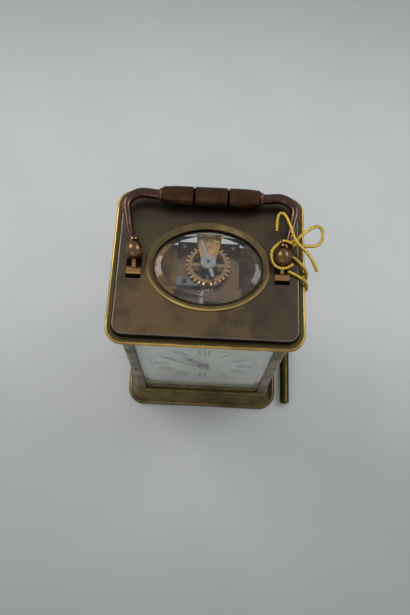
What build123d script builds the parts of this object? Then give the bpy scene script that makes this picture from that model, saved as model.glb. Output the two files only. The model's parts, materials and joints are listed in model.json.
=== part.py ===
"""Brass carriage clock: glazed case, folding handle, rear door and lever-platform movement.

Millimetres. The dial faces -Y, +Z is up, and the underside of the base is at z = 0.
Each sub-part has its own section and is written to its own STEP file.
"""

import os
from math import acos, atan2, cos, degrees, pi, radians, sin, tan

from build123d import *

# Driving dimensions: case
RIM_WIDTH = 85.0
RIM_DEPTH = 74.0
RIM_CORNER = 8.0
FOOT_FLARE = 1.5
OVERHANG = 5.0
BASE_HEIGHT = 14.0
BODY_HEIGHT = 98.0
CORNICE_HEIGHT = 10.6
PLATE_INSET = 3.1
PILLAR = 5.5
GLASS = 1.6
GLASS_INSET = 0.6
GROOVE = 1.0

# Driving dimensions: oval top light
OVAL_X = 27.0
OVAL_Y = 21.0
OVAL_CENTRE_Y = -1.0
BEZEL_WIDTH = 2.8
BEVEL = 3.7

# Driving dimensions: handle, lying back on the top
HINGE_X = 32.0
HINGE_Y = -4.5
HINGE_SINK = 1.4
SLOT_WIDTH = 6.6
BALL_RADIUS = 3.6
BALL_HALF = 4.2
BALL_Y = 3.2
GRIP_Y = 30.0
GRIP_HALF = 21.8
GRIP_RADIUS = 4.2
ARM_REACH_X = 36.8

# Driving dimensions: dial and movement
DIAL_SETBACK = 4.4
DIAL_THICK = 1.2
MOTION_SPACE = 3.4
PLATE_THICK = 2.0
PLATE_SPAN = 34.6
PLATE_HALF = 30.0
PLATFORM_DROP = 3.4
PLATFORM_THICK = 1.8
PLATFORM_HALF = 14.2
ESCAPE_DROP = 17.1
TRAIN_RISE = 30.5
LEVER_REACH = 8.45
BALANCE_RADIUS = 8.8
SQUARE_REACH = 7.6
DOOR_INSET = 2.6
CLOCK_MINUTES = 51.5
CLOCK_HOURS = 10.0

# Clearances
RUN = 0.06
FIT = 0.1

# Worked-out levels and faces
BODY_X = RIM_WIDTH / 2 - OVERHANG
BODY_Y = RIM_DEPTH / 2 - OVERHANG
CORNICE_Z = BASE_HEIGHT + BODY_HEIGHT
TOP_Z = CORNICE_Z + CORNICE_HEIGHT
PILLAR_X = BODY_X - PILLAR
PILLAR_Y = BODY_Y - PILLAR
FLOOR_Z = 4.0
PLATFORM_TOP = CORNICE_Z - PLATFORM_DROP
PLATFORM_Z = PLATFORM_TOP - PLATFORM_THICK
CONTRATE_Z = PLATFORM_TOP - ESCAPE_DROP
CENTRE_Z = CONTRATE_Z - TRAIN_RISE
HINGE_Z = TOP_Z - HINGE_SINK
DIAL_FACE_Y = DIAL_SETBACK - BODY_Y
PLATE_FRONT = DIAL_FACE_Y + DIAL_THICK + MOTION_SPACE
FRONT_PLATE_Y = (PLATE_FRONT, PLATE_FRONT + PLATE_THICK)
BACK_PLATE_Y = (FRONT_PLATE_Y[1] + PLATE_SPAN, FRONT_PLATE_Y[1] + PLATE_SPAN + PLATE_THICK)
SQUARE_END = BACK_PLATE_Y[1] + SQUARE_REACH


def across(y):
    """Plane facing the viewer at depth y, with local x to the right and local y up."""
    return Plane(origin=(0, y, 0), x_dir=(1, 0, 0), z_dir=(0, -1, 0))


def add_box(x, y, z, mode=Mode.ADD):
    """Add a box given by its low and high limit along each axis."""
    with Locations(((x[0] + x[1]) / 2, (y[0] + y[1]) / 2, (z[0] + z[1]) / 2)):
        Box(x[1] - x[0], y[1] - y[0], z[1] - z[0], mode=mode)


def add_slab(half_x, half_y, corner, z, taper=0.0, mode=Mode.ADD):
    """Add a slab with a rounded-rectangle plan between two heights."""
    with BuildSketch(Plane.XY.offset(z[0])) as plan:
        RectangleRounded(2 * half_x, 2 * half_y, corner)
    extrude(plan.sketch, amount=z[1] - z[0], taper=taper, mode=mode)


def add_rod_y(at, y, radius, mode=Mode.ADD):
    """Add a rod along Y at an (x, z) place."""
    with BuildSketch(across(y[1])) as section:
        with Locations(at):
            Circle(radius)
    extrude(section.sketch, amount=y[1] - y[0], mode=mode)


def add_rod_z(at, z, radius, mode=Mode.ADD):
    """Add an upright rod at an (x, y) place."""
    with BuildSketch(Plane.XY.offset(z[0])) as section:
        with Locations(at):
            Circle(radius)
    extrude(section.sketch, amount=z[1] - z[0], mode=mode)


def add_rod_x(at, x, radius, mode=Mode.ADD):
    """Add a rod along X at a (y, z) place."""
    with BuildSketch(Plane(origin=(x[0], at[0], at[1]), x_dir=(0, 1, 0), z_dir=(1, 0, 0))) as section:
        Circle(radius)
    extrude(section.sketch, amount=x[1] - x[0], mode=mode)


def add_ellipse(semi_x, semi_y, z, mode=Mode.ADD):
    """Add an elliptic prism about the centre of the top light."""
    with BuildSketch(Plane(origin=(0, OVAL_CENTRE_Y, z[0]))) as plan:
        Ellipse(semi_x, semi_y)
    extrude(plan.sketch, amount=z[1] - z[0], mode=mode)


def add_ellipse_loft(low, high, z, mode=Mode.ADD):
    """Add a ruled frustum between two ellipses about the centre of the top light."""
    with BuildSketch(Plane(origin=(0, OVAL_CENTRE_Y, z[0]))) as bottom:
        Ellipse(*low)
    with BuildSketch(Plane(origin=(0, OVAL_CENTRE_Y, z[1]))) as top:
        Ellipse(*high)
    loft([bottom.sketch, top.sketch], ruled=True, mode=mode)


def tooth_points(teeth, root, tip, root_share, tip_share, phase):
    """Outline of a wheel with straight-sided teeth: four points to a tooth."""
    pitch = 2 * pi / teeth
    points = []
    for k in range(teeth):
        middle = phase + k * pitch
        for radius, share in ((root, -root_share), (tip, -tip_share), (tip, tip_share), (root, root_share)):
            angle = middle + share * pitch / 2
            points.append((radius * cos(angle), radius * sin(angle)))
    return points


def add_outline(plane, at, points, height, mode=Mode.ADD):
    """Extrude a closed polygon placed at a point of a plane."""
    with BuildSketch(plane) as outline:
        with BuildLine():
            Polyline(*[(at[0] + px, at[1] + py) for px, py in points], close=True)
        make_face()
    extrude(outline.sketch, amount=height, mode=mode)


def meshed(phase, teeth, heading, mate_teeth):
    """Phase of a mating wheel whose gap takes the tooth that faces it."""
    pitch = 2 * pi / teeth
    mate_pitch = 2 * pi / mate_teeth
    share = ((heading - phase) / pitch) % 1.0
    return heading + pi - mate_pitch * (0.5 - share)


def heading(start, end):
    """Direction from one arbor to another, counted from +X towards +Z."""
    return atan2(end[1] - start[1], end[0] - start[0])


def cut_crossings(at, y, hub, rim, arms, arm_width):
    """Cut the windows between the arms of a wheel."""
    with BuildSketch(across(y[1])) as windows:
        with Locations(at):
            Circle(rim)
            Circle(hub, mode=Mode.SUBTRACT)
            with PolarLocations(rim / 2, arms, start_angle=45):
                Rectangle(rim * 1.02, arm_width, mode=Mode.SUBTRACT)
    extrude(windows.sketch, amount=y[1] - y[0], mode=Mode.SUBTRACT)


# Going train: tooth counts, modules and places (x, z)
GREAT_TEETH, MID_LEAVES, GREAT_MODULE = 72, 12, 0.5
MID_TEETH, CENTRE_LEAVES, MID_MODULE = 60, 10, 0.5
CENTRE_TEETH, THIRD_LEAVES, CENTRE_MODULE = 64, 8, 0.45
THIRD_TEETH, CONTRATE_LEAVES, THIRD_MODULE = 60, 8, 0.45
CONTRATE_TEETH, ESCAPE_LEAVES, CONTRATE_RADIUS = 60, 6, 11.0
CANNON_TEETH, MINUTE_TEETH, MOTION_MODULE = 12, 36, 0.5
MINUTE_LEAVES, HOUR_TEETH = 10, 40
RATCHET_TEETH = 26
ESCAPE_TEETH = 15

CENTRE_AT = (0.0, CENTRE_Z)
MID_DISTANCE = MID_MODULE * (MID_TEETH + CENTRE_LEAVES) / 2
MID_HEADING = radians(-38)
MID_AT = (MID_DISTANCE * cos(MID_HEADING), CENTRE_Z + MID_DISTANCE * sin(MID_HEADING))
GREAT_DISTANCE = GREAT_MODULE * (GREAT_TEETH + MID_LEAVES) / 2
GREAT_HEADING = radians(-150)
BARREL_AT = (
    MID_AT[0] + GREAT_DISTANCE * cos(GREAT_HEADING),
    MID_AT[1] + GREAT_DISTANCE * sin(GREAT_HEADING),
)
CONTRATE_AT = (0.0, CONTRATE_Z)
THIRD_DISTANCE = CENTRE_MODULE * (CENTRE_TEETH + THIRD_LEAVES) / 2
CONTRATE_DISTANCE = THIRD_MODULE * (THIRD_TEETH + CONTRATE_LEAVES) / 2
THIRD_SHARE = (THIRD_DISTANCE**2 + TRAIN_RISE**2 - CONTRATE_DISTANCE**2) / (2 * TRAIN_RISE)
THIRD_LEAN = acos(THIRD_SHARE / THIRD_DISTANCE)
THIRD_AT = (THIRD_DISTANCE * sin(THIRD_LEAN), CENTRE_Z + THIRD_DISTANCE * cos(THIRD_LEAN))
MOTION_DISTANCE = MOTION_MODULE * (CANNON_TEETH + MINUTE_TEETH) / 2
MOTION_HEADING = radians(-60)
MINUTE_AT = (MOTION_DISTANCE * cos(MOTION_HEADING), CENTRE_Z + MOTION_DISTANCE * sin(MOTION_HEADING))
HOUR_MODULE = 2 * MOTION_DISTANCE / (MINUTE_LEAVES + HOUR_TEETH)



def behind_plate(near, far):
    """Depth range counted back from the front plate's inner face."""
    return (FRONT_PLATE_Y[1] + near, FRONT_PLATE_Y[1] + far)


# Depths of the wheels between the plates
CENTRE_LEAF_Y = behind_plate(2.8, 5.4)
MID_WHEEL_Y = behind_plate(3.4, 4.6)
THIRD_LEAF_Y = behind_plate(5.8, 8.2)
CENTRE_WHEEL_Y = behind_plate(6.4, 7.6)
CONTRATE_WEB_Y = behind_plate(7.5, 8.7)
MID_LEAF_Y = behind_plate(8.0, 11.2)
GREAT_WHEEL_Y = behind_plate(8.4, 10.8)
CONTRATE_LEAF_Y = behind_plate(13.8, 16.2)
THIRD_WHEEL_Y = behind_plate(14.4, 15.6)
CONTRATE_TOOTH = 1.22
DRUM_Y = (GREAT_WHEEL_Y[1], BACK_PLATE_Y[0] - 4.0)
ARBOR_Y = (FRONT_PLATE_Y[0] + 0.4, BACK_PLATE_Y[1] - 0.4)
ESCAPE_PITCH_RADIUS = CONTRATE_RADIUS * ESCAPE_LEAVES / CONTRATE_TEETH
ESCAPE_Y = CONTRATE_WEB_Y[1] + 0.95 + ESCAPE_PITCH_RADIUS
LEVER_Y = ESCAPE_Y + 5.0
BALANCE_Y = LEVER_Y + LEVER_REACH

# Phases that put a tooth in each mating gap
GREAT_PHASE = 0.0
MID_LEAF_PHASE = meshed(GREAT_PHASE, GREAT_TEETH, heading(BARREL_AT, MID_AT), MID_LEAVES)
MID_PHASE = 0.0
CENTRE_LEAF_PHASE = meshed(MID_PHASE, MID_TEETH, heading(MID_AT, CENTRE_AT), CENTRE_LEAVES)
CENTRE_PHASE = 0.0
THIRD_LEAF_PHASE = meshed(CENTRE_PHASE, CENTRE_TEETH, heading(CENTRE_AT, THIRD_AT), THIRD_LEAVES)
THIRD_PHASE = 0.0
CONTRATE_LEAF_PHASE = meshed(THIRD_PHASE, THIRD_TEETH, heading(THIRD_AT, CONTRATE_AT), CONTRATE_LEAVES)
MINUTE_PHASE = meshed(0.0, CANNON_TEETH, heading(CENTRE_AT, MINUTE_AT), MINUTE_TEETH)
HOUR_PHASE = meshed(0.0, MINUTE_LEAVES, heading(MINUTE_AT, CENTRE_AT), HOUR_TEETH)


def add_wheel(at, y, teeth, module, phase):
    """Add a brass wheel's toothed disc."""
    radius = module * teeth / 2
    points = tooth_points(teeth, radius - 1.25 * module, radius + 0.75 * module, 0.56, 0.2, phase)
    add_outline(across(y[1]), at, points, y[1] - y[0])


def add_leaves(at, y, leaves, module, phase):
    """Add a steel pinion's leaves."""
    radius = module * leaves / 2
    points = tooth_points(leaves, radius - 1.05 * module, radius + 0.6 * module, 0.42, 0.2, phase)
    add_outline(across(y[1]), at, points, y[1] - y[0])


def add_hand(y, angle, length, tail, moon_at, moon_radius):
    """Add a moon hand turned clockwise from twelve by an angle in degrees."""
    turn = radians(angle)
    face = Plane(origin=(0, y[1], CENTRE_Z), x_dir=(cos(turn), 0, -sin(turn)), z_dir=(0, -1, 0))
    with BuildSketch(face) as hand:
        with BuildLine():
            Polyline((-0.75, 0), (-0.45, moon_at), (-0.12, length), (0.12, length), (0.45, moon_at),
                     (0.75, 0), (0.5, -tail), (-0.5, -tail), close=True)
        make_face()
        with Locations((0, moon_at)):
            Circle(moon_radius)
        with Locations((0, moon_at + 0.3 * moon_radius)):
            Circle(0.55 * moon_radius, mode=Mode.SUBTRACT)
    extrude(hand.sketch, amount=y[1] - y[0])


def add_cord(points, radius):
    """Add a cord whose straight runs are joined by tangent arcs."""
    corners = [Vector(*p) for p in points]
    radii = []
    for before, here, after in zip(corners, corners[1:], corners[2:]):
        half_turn = radians((here - before).get_angle(after - here)) / 2
        radii.append(0.45 * min((here - before).length, (after - here).length) / tan(half_turn))
    with BuildLine() as route:
        FilletPolyline(*corners, radius=radii)
    with BuildSketch(Plane(origin=route.line @ 0, z_dir=route.line % 0)) as section:
        Circle(radius)
    sweep(section.sketch, path=route.wires()[0])


# Base: flared foot, sloping moulding, bead, and a tray for the movement
with BuildPart() as base_plinth:
    foot_x = RIM_WIDTH / 2 + FOOT_FLARE
    foot_y = RIM_DEPTH / 2 + FOOT_FLARE
    add_slab(foot_x, foot_y, RIM_CORNER + FOOT_FLARE, (0, 3.2))
    fillet(base_plinth.faces().sort_by(Axis.Z)[-1].edges(), 1.4)
    slope = degrees(atan2(foot_x - 1.4 - BODY_X - 1.0, 8.6))
    add_slab(foot_x - 1.4, foot_y - 1.4, RIM_CORNER, (3.2, 11.8), taper=slope)
    add_slab(BODY_X + 1.2, BODY_Y + 1.2, 3.8, (11.8, BASE_HEIGHT))
    fillet(base_plinth.faces().sort_by(Axis.Z)[-1].edges(), 1.0)
    add_slab(BODY_X - 6.3, BODY_Y - 6.1, 2.0, (FLOOR_Z, BASE_HEIGHT + 1), mode=Mode.SUBTRACT)
    glass_y = (-BODY_Y + GLASS_INSET - FIT, -BODY_Y + GLASS_INSET + GLASS + FIT)
    glass_x = (BODY_X - GLASS_INSET - GLASS - FIT, BODY_X - GLASS_INSET + FIT)
    groove_z = (BASE_HEIGHT - 0.8, BASE_HEIGHT + 1)
    front_run = PILLAR_X + GROOVE + FIT
    side_run = PILLAR_Y + GROOVE + FIT
    add_box((-front_run, front_run), glass_y, groove_z, mode=Mode.SUBTRACT)
    add_box(glass_x, (-side_run, side_run), groove_z, mode=Mode.SUBTRACT)
    add_box((-glass_x[1], -glass_x[0]), (-side_run, side_run), groove_z, mode=Mode.SUBTRACT)
    DOOR_AXIS = (2.0 - PILLAR_X, BODY_Y - DOOR_INSET)
    add_rod_z(DOOR_AXIS, (BASE_HEIGHT - 2.0, BASE_HEIGHT + 1), 0.9 + RUN, mode=Mode.SUBTRACT)
    CASE_SCREWS = [(sx * (BODY_X - 3.2), sy * (BODY_Y - 3.4)) for sx in (-1, 1) for sy in (-1, 1)]
    MOVEMENT_SCREWS = [(sx * 26.0, (FRONT_PLATE_Y[1] + BACK_PLATE_Y[0]) / 2) for sx in (-1, 1)]
    with Locations(*[(px, py, 0) for px, py in CASE_SCREWS + MOVEMENT_SCREWS]):
        Cylinder(1.4, 2 * BASE_HEIGHT + 4, mode=Mode.SUBTRACT)
        Cylinder(2.6, 4.4, mode=Mode.SUBTRACT)

# Screws from below: four hold the pillars, two hold the movement
with BuildPart() as base_screws:
    for px, py in CASE_SCREWS:
        add_rod_z((px, py), (0.4, 2.2), 2.6)
        add_rod_z((px, py), (2.2, BASE_HEIGHT + 5), 1.4)
    for px, py in MOVEMENT_SCREWS:
        add_rod_z((px, py), (0.4, 2.2), 2.6)
        add_rod_z((px, py), (2.2, FLOOR_Z + 5.0), 1.4)

# Corner pillars: outer edge rounded, grooves for the panes, a screw hole in the foot
with BuildPart() as front_pillars:
    for side in (-1, 1):
        with BuildSketch(Plane.XY.offset(BASE_HEIGHT)) as pillar_plan:
            with Locations((side * (BODY_X - PILLAR / 2), -(BODY_Y - PILLAR / 2))):
                Rectangle(PILLAR, PILLAR)
            fillet(pillar_plan.vertices().sort_by(Axis.Y)[:2].sort_by(Axis.X)[-1 if side > 0 else 0], 2.4)
            with Locations((side * PILLAR_X, (glass_y[0] + glass_y[1]) / 2)):
                Rectangle(2 * GROOVE + 2 * FIT, GLASS + 2 * FIT, mode=Mode.SUBTRACT)
            with Locations((side * (glass_x[0] + glass_x[1]) / 2, -PILLAR_Y)):
                Rectangle(GLASS + 2 * FIT, 2 * GROOVE + 2 * FIT, mode=Mode.SUBTRACT)
        extrude(amount=BODY_HEIGHT)
    for px, py in CASE_SCREWS:
        if py < 0:
            add_rod_z((px, py), (BASE_HEIGHT, BASE_HEIGHT + 5.4), 1.4, mode=Mode.SUBTRACT)

with BuildPart() as rear_pillars:
    for side in (-1, 1):
        with BuildSketch(Plane.XY.offset(BASE_HEIGHT)) as pillar_plan:
            with Locations((side * (BODY_X - PILLAR / 2), BODY_Y - PILLAR / 2)):
                Rectangle(PILLAR, PILLAR)
            fillet(pillar_plan.vertices().sort_by(Axis.Y)[2:].sort_by(Axis.X)[-1 if side > 0 else 0], 2.4)
            with Locations((side * (glass_x[0] + glass_x[1]) / 2, PILLAR_Y)):
                Rectangle(GLASS + 2 * FIT, 2 * GROOVE + 2 * FIT, mode=Mode.SUBTRACT)
        extrude(amount=BODY_HEIGHT)
    for px, py in CASE_SCREWS:
        if py > 0:
            add_rod_z((px, py), (BASE_HEIGHT, BASE_HEIGHT + 5.4), 1.4, mode=Mode.SUBTRACT)

# Cornice: moulding, rim bead and raised top with the oval opening and the hinge slots
with BuildPart() as cornice_top:
    RIM_Z = (CORNICE_Z + 5.4, CORNICE_Z + 7.6)
    add_slab(RIM_WIDTH / 2, RIM_DEPTH / 2, RIM_CORNER, RIM_Z)
    fillet(cornice_top.faces().filter_by(Axis.Z).edges(), 1.05)
    flare = degrees(atan2(OVERHANG - 2.0, 4.0))
    add_slab(BODY_X + 0.6, BODY_Y + 0.6, 3.4, (CORNICE_Z + 1.4, RIM_Z[0]), taper=-flare)
    add_slab(BODY_X + 1.0, BODY_Y + 1.0, 3.6, (CORNICE_Z, CORNICE_Z + 1.4))
    fillet(cornice_top.faces().sort_by(Axis.Z)[0].edges(), 0.6)
    plate_x = RIM_WIDTH / 2 - PLATE_INSET
    plate_y = RIM_DEPTH / 2 - PLATE_INSET
    add_slab(plate_x + 0.9, plate_y + 0.9, 6.2, (RIM_Z[1] - 0.2, RIM_Z[1] + 0.5))
    add_slab(plate_x, plate_y, 5.4, (RIM_Z[1] + 0.5, TOP_Z))
    fillet(cornice_top.faces().sort_by(Axis.Z)[-1].edges(), 0.6)
    UNDER_Z = TOP_Z - 4.7
    add_slab(PILLAR_X + 0.8, PILLAR_Y + 1.2, 3.0, (CORNICE_Z - 1, UNDER_Z), mode=Mode.SUBTRACT)
    LEDGE_Z = TOP_Z - 2.7
    glass_semi = (OVAL_X - BEZEL_WIDTH, OVAL_Y - BEZEL_WIDTH - 0.3)
    add_ellipse(glass_semi[0] - 0.8, glass_semi[1] - 0.8, (UNDER_Z - 1, TOP_Z + 1), mode=Mode.SUBTRACT)
    add_ellipse(glass_semi[0] + FIT, glass_semi[1] + FIT, (LEDGE_Z, TOP_Z + 1), mode=Mode.SUBTRACT)
    for side in (-1, 1):
        slot_x = (side * HINGE_X - SLOT_WIDTH / 2, side * HINGE_X + SLOT_WIDTH / 2)
        add_box(slot_x, (HINGE_Y - 3.9, HINGE_Y + 5.3), (TOP_Z - 4.0, TOP_Z + 1), mode=Mode.SUBTRACT)
        add_rod_x((HINGE_Y, HINGE_Z), (slot_x[0] - 1.5, slot_x[1] + 1.5), 0.8, mode=Mode.SUBTRACT)
    groove_top = (CORNICE_Z - 1, CORNICE_Z + 0.9)
    add_box((-front_run, front_run), glass_y, groove_top, mode=Mode.SUBTRACT)
    add_box(glass_x, (-side_run, side_run), groove_top, mode=Mode.SUBTRACT)
    add_box((-glass_x[1], -glass_x[0]), (-side_run, side_run), groove_top, mode=Mode.SUBTRACT)
    add_rod_z(DOOR_AXIS, (CORNICE_Z - 1, CORNICE_Z + 2.0), 0.9 + RUN, mode=Mode.SUBTRACT)

# Oval bezel: a ring with sloping sides standing on the raised top
with BuildPart() as oval_bezel:
    ring_top = TOP_Z + 1.5
    add_ellipse(OVAL_X, OVAL_Y, (TOP_Z, TOP_Z + 0.6))
    add_ellipse_loft((OVAL_X, OVAL_Y), (OVAL_X - 0.8, OVAL_Y - 0.8), (TOP_Z + 0.6, ring_top))
    inner = (glass_semi[0] - 0.2, glass_semi[1] - 0.2)
    crest = (OVAL_X - 1.6, OVAL_Y - 1.6)
    add_ellipse_loft(inner, crest, (TOP_Z, ring_top), mode=Mode.SUBTRACT)

# Top light: oval glass with a wide bevel, resting on the ledge
with BuildPart() as top_glass:
    add_ellipse(*glass_semi, (LEDGE_Z, LEDGE_Z + 1.2))
    flat = (glass_semi[0] - BEVEL, glass_semi[1] - BEVEL)
    add_ellipse_loft(glass_semi, flat, (LEDGE_Z + 1.2, TOP_Z - 0.2))


def add_pane(plane, width, height, bevel):
    """Add a pane with a bevelled border, its back on the plane."""
    edge = GLASS - 0.6
    with BuildSketch(plane) as back:
        Rectangle(width, height)
    extrude(back.sketch, amount=edge)
    with BuildSketch(plane.offset(edge)) as shoulder:
        Rectangle(width, height)
    with BuildSketch(plane.offset(GLASS)) as face:
        Rectangle(width - 2 * bevel, height - 2 * bevel)
    loft([shoulder.sketch, face.sketch], ruled=True)


PANE_HEIGHT = BODY_HEIGHT + 1.6
PANE_Z = CORNICE_Z - BODY_HEIGHT / 2
with BuildPart() as front_glass:
    add_pane(Plane(origin=(0, glass_y[1] - FIT, PANE_Z), x_dir=(1, 0, 0), z_dir=(0, -1, 0)),
             2 * (PILLAR_X + GROOVE), PANE_HEIGHT, 4.5)

with BuildPart() as side_glasses:
    for side in (-1, 1):
        add_pane(Plane(origin=(side * (glass_x[0] + FIT), 0, PANE_Z), x_dir=(0, 1, 0), z_dir=(side, 0, 0)),
                 2 * (PILLAR_Y + GROOVE), PANE_HEIGHT, 4.5)

# Rear door: frame on two pivots with a rounded hinge edge, its pane and its knob
DOOR_THICK = 3.4
DOOR_Y = (DOOR_AXIS[1] - DOOR_THICK / 2, DOOR_AXIS[1] + DOOR_THICK / 2)
DOOR_Z = (BASE_HEIGHT + 0.3, CORNICE_Z - 0.3)
DOOR_EDGE = PILLAR_X - 0.3
STILE = 5.0
WINDOW_X = (-DOOR_EDGE + STILE, DOOR_EDGE - STILE)
WINDOW_Z = (DOOR_Z[0] + STILE, DOOR_Z[1] - STILE)
with BuildPart() as door_frame:
    add_box((DOOR_AXIS[0], DOOR_EDGE), DOOR_Y, DOOR_Z)
    add_rod_z(DOOR_AXIS, DOOR_Z, DOOR_THICK / 2)
    add_rod_z(DOOR_AXIS, (DOOR_Z[0] - 1.9, DOOR_Z[1] + 1.9), 0.9)
    add_box(WINDOW_X, (DOOR_Y[0] - 1, DOOR_Y[1] + 1), WINDOW_Z, mode=Mode.SUBTRACT)
    pane_x = (WINDOW_X[0] - GROOVE, WINDOW_X[1] + GROOVE)
    pane_z = (WINDOW_Z[0] - GROOVE, WINDOW_Z[1] + GROOVE)
    add_box(pane_x, (DOOR_AXIS[1] - GLASS / 2, DOOR_AXIS[1] + GLASS / 2), pane_z, mode=Mode.SUBTRACT)

with BuildPart() as door_glass:
    pane_middle = ((pane_x[0] + pane_x[1]) / 2, DOOR_AXIS[1] - GLASS / 2, (pane_z[0] + pane_z[1]) / 2)
    door_plane = Plane(origin=pane_middle, x_dir=(-1, 0, 0), z_dir=(0, 1, 0))
    add_pane(door_plane, pane_x[1] - pane_x[0], pane_z[1] - pane_z[0], 4.5)

with BuildPart() as door_knob:
    knob_at = (DOOR_EDGE - STILE / 2, DOOR_Y[1], CENTRE_Z)
    with BuildSketch(Plane(origin=knob_at, x_dir=(1, 0, 0), z_dir=(0, 0, 1))):
        with BuildLine():
            Polyline((0, 0), (1.7, 0), (1.7, 0.5), (0.8, 0.9), (0.8, 1.6), (1.7, 2.3), (1.7, 3.3),
                     (0.9, 3.9), (0, 3.9), close=True)
        make_face()
    revolve(axis=Axis(knob_at, (0, 1, 0)))

# Handle: two cast arms with hinge knuckle and knop, a turned grip and its collars
BALL_Z = TOP_Z + BALL_RADIUS + 0.2
GRIP_Z = TOP_Z + GRIP_RADIUS + 0.9
COLLAR = 1.2


def add_arm(side):
    """Add one handle arm: knuckle, neck, knop with its ring, and the swelling curve to the grip."""
    knuckle = (side * HINGE_X - SLOT_WIDTH / 2 + 0.2, side * HINGE_X + SLOT_WIDTH / 2 - 0.2)
    add_rod_x((HINGE_Y, HINGE_Z), knuckle, 2.2)
    ball = Vector(side * HINGE_X, BALL_Y, BALL_Z)
    pivot = Vector(side * HINGE_X, HINGE_Y, HINGE_Z)
    with BuildSketch(Plane(origin=pivot, z_dir=ball - pivot)) as neck:
        Circle(1.1)
    extrude(neck.sketch, amount=(ball - pivot).length)
    arm_start = Vector(side * 0.1, 1, 0.05).normalized()
    knop_plane = Plane(origin=ball, x_dir=arm_start, z_dir=Vector(side, 0, 0).cross(arm_start))
    with BuildSketch(knop_plane) as knop:
        with BuildLine():
            EllipticalCenterArc((0, 0), BALL_HALF, BALL_RADIUS, start_angle=0, arc_size=180)
            Line((-BALL_HALF, 0), (BALL_HALF, 0))
        make_face()
    revolve(knop.sketch, axis=Axis(ball, arm_start))
    with BuildSketch(Plane(origin=ball + arm_start * BALL_HALF, z_dir=arm_start)) as ring:
        Circle(2.0)
    extrude(ring.sketch, amount=0.9)
    with BuildLine() as arm_path:
        Spline(
            ball,
            (side * (HINGE_X + 2.3), BALL_Y + 7.5, BALL_Z + 0.4),
            (side * (ARM_REACH_X - 0.5), GRIP_Y - 10.0, GRIP_Z - 0.3),
            (side * ARM_REACH_X, GRIP_Y - 4.6, GRIP_Z),
            (side * (ARM_REACH_X - 4.2), GRIP_Y, GRIP_Z),
            (side * (GRIP_HALF + COLLAR), GRIP_Y, GRIP_Z),
            tangents=[arm_start, (-side, 0, 0)],
        )
    sections = []
    for share, radius in ((0, 1.3), (0.35, 1.7), (0.75, 2.2), (1, 2.3)):
        with BuildSketch(Plane(origin=arm_path.line @ share, z_dir=arm_path.line % share)) as section:
            Circle(radius)
        sections.append(section.sketch)
    sweep(sections, path=arm_path.wires()[0], multisection=True)
    add_rod_x((HINGE_Y, HINGE_Z), knuckle, 0.8 + RUN, mode=Mode.SUBTRACT)
    return arm_path.line


with BuildPart() as handle_arm_left:
    add_arm(-1)

with BuildPart() as handle_arm_right:
    right_arm = add_arm(1)

with BuildPart() as handle_grip:
    with BuildSketch(Plane.XY):
        with BuildLine():
            Polyline((0, 0), (0, GRIP_RADIUS), (6.9, GRIP_RADIUS), (7.5, 3.3), (8.1, GRIP_RADIUS),
                     (15.5, GRIP_RADIUS), (GRIP_HALF - 0.8, 3.8), (GRIP_HALF, 3.2), (GRIP_HALF, 0),
                     close=True)
        make_face()
        mirror(about=Plane.YZ)
    revolve(axis=Axis.X)
handle_grip.part.locate(Location((0, GRIP_Y, GRIP_Z)))

with BuildPart() as grip_collars:
    for side in (-1, 1):
        grip_end = (side * GRIP_HALF, GRIP_Y, GRIP_Z)
        with BuildSketch(Plane(origin=grip_end, x_dir=(side, 0, 0), z_dir=(0, 0, side))):
            with BuildLine():
                Polyline((0, 0), (0, 2.8), (0.4, 3.0), (0.8, 3.0), (COLLAR, 2.4), (COLLAR, 0), close=True)
            make_face()
        revolve(axis=Axis((0, GRIP_Y, GRIP_Z), (1, 0, 0)))

with BuildPart() as hinge_pins:
    for side in (-1, 1):
        pin_half = SLOT_WIDTH / 2 + 1.5
        add_rod_x((HINGE_Y, HINGE_Z), (side * HINGE_X - pin_half, side * HINGE_X + pin_half), 0.8)

# Dial: enamelled plate on four feet
DIAL_Y = (DIAL_FACE_Y, DIAL_FACE_Y + DIAL_THICK)
DIAL_FEET = [(sx * 26.0, z) for sx in (-1, 1) for z in (BASE_HEIGHT + 8.0, CORNICE_Z - 11.0)]
with BuildPart() as dial:
    add_box((-PILLAR_X + 0.2, PILLAR_X - 0.2), DIAL_Y, (BASE_HEIGHT + 0.2, CORNICE_Z - 0.2))
    add_rod_y(CENTRE_AT, (DIAL_Y[0] - 1, DIAL_Y[1] + 1), 2.5, mode=Mode.SUBTRACT)
    for foot in DIAL_FEET:
        add_rod_y(foot, (DIAL_Y[1], FRONT_PLATE_Y[1] - 0.3), 0.9)

# Movement frame
PIVOTS = {"mid": (MID_AT, 0.7), "third": (THIRD_AT, 0.6), "contrate": (CONTRATE_AT, 0.6)}
MOVEMENT_POSTS = [(sx * 26.0, z) for sx in (-1, 1) for z in (FLOOR_Z + 6.5, PLATFORM_Z - 12.8)]
CLICK_AT = (BARREL_AT[0] + 13.3, BARREL_AT[1] + 9.2)
with BuildPart() as front_plate:
    add_box((-PLATE_HALF, PLATE_HALF), FRONT_PLATE_Y, (FLOOR_Z, PLATFORM_Z))
    through = (FRONT_PLATE_Y[0] - 1, FRONT_PLATE_Y[1] + 1)
    for at, radius in PIVOTS.values():
        add_rod_y(at, through, radius + RUN, mode=Mode.SUBTRACT)
    add_rod_y(CENTRE_AT, through, 1.0 + RUN, mode=Mode.SUBTRACT)
    add_rod_y(BARREL_AT, through, 1.6 + RUN, mode=Mode.SUBTRACT)
    for foot in DIAL_FEET:
        add_rod_y(foot, through, 0.9, mode=Mode.SUBTRACT)
    for post in MOVEMENT_POSTS:
        add_rod_y(post, through, 1.5, mode=Mode.SUBTRACT)
    add_rod_y(MINUTE_AT, (FRONT_PLATE_Y[0] - 3.1, FRONT_PLATE_Y[0]), 1.0)

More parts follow.
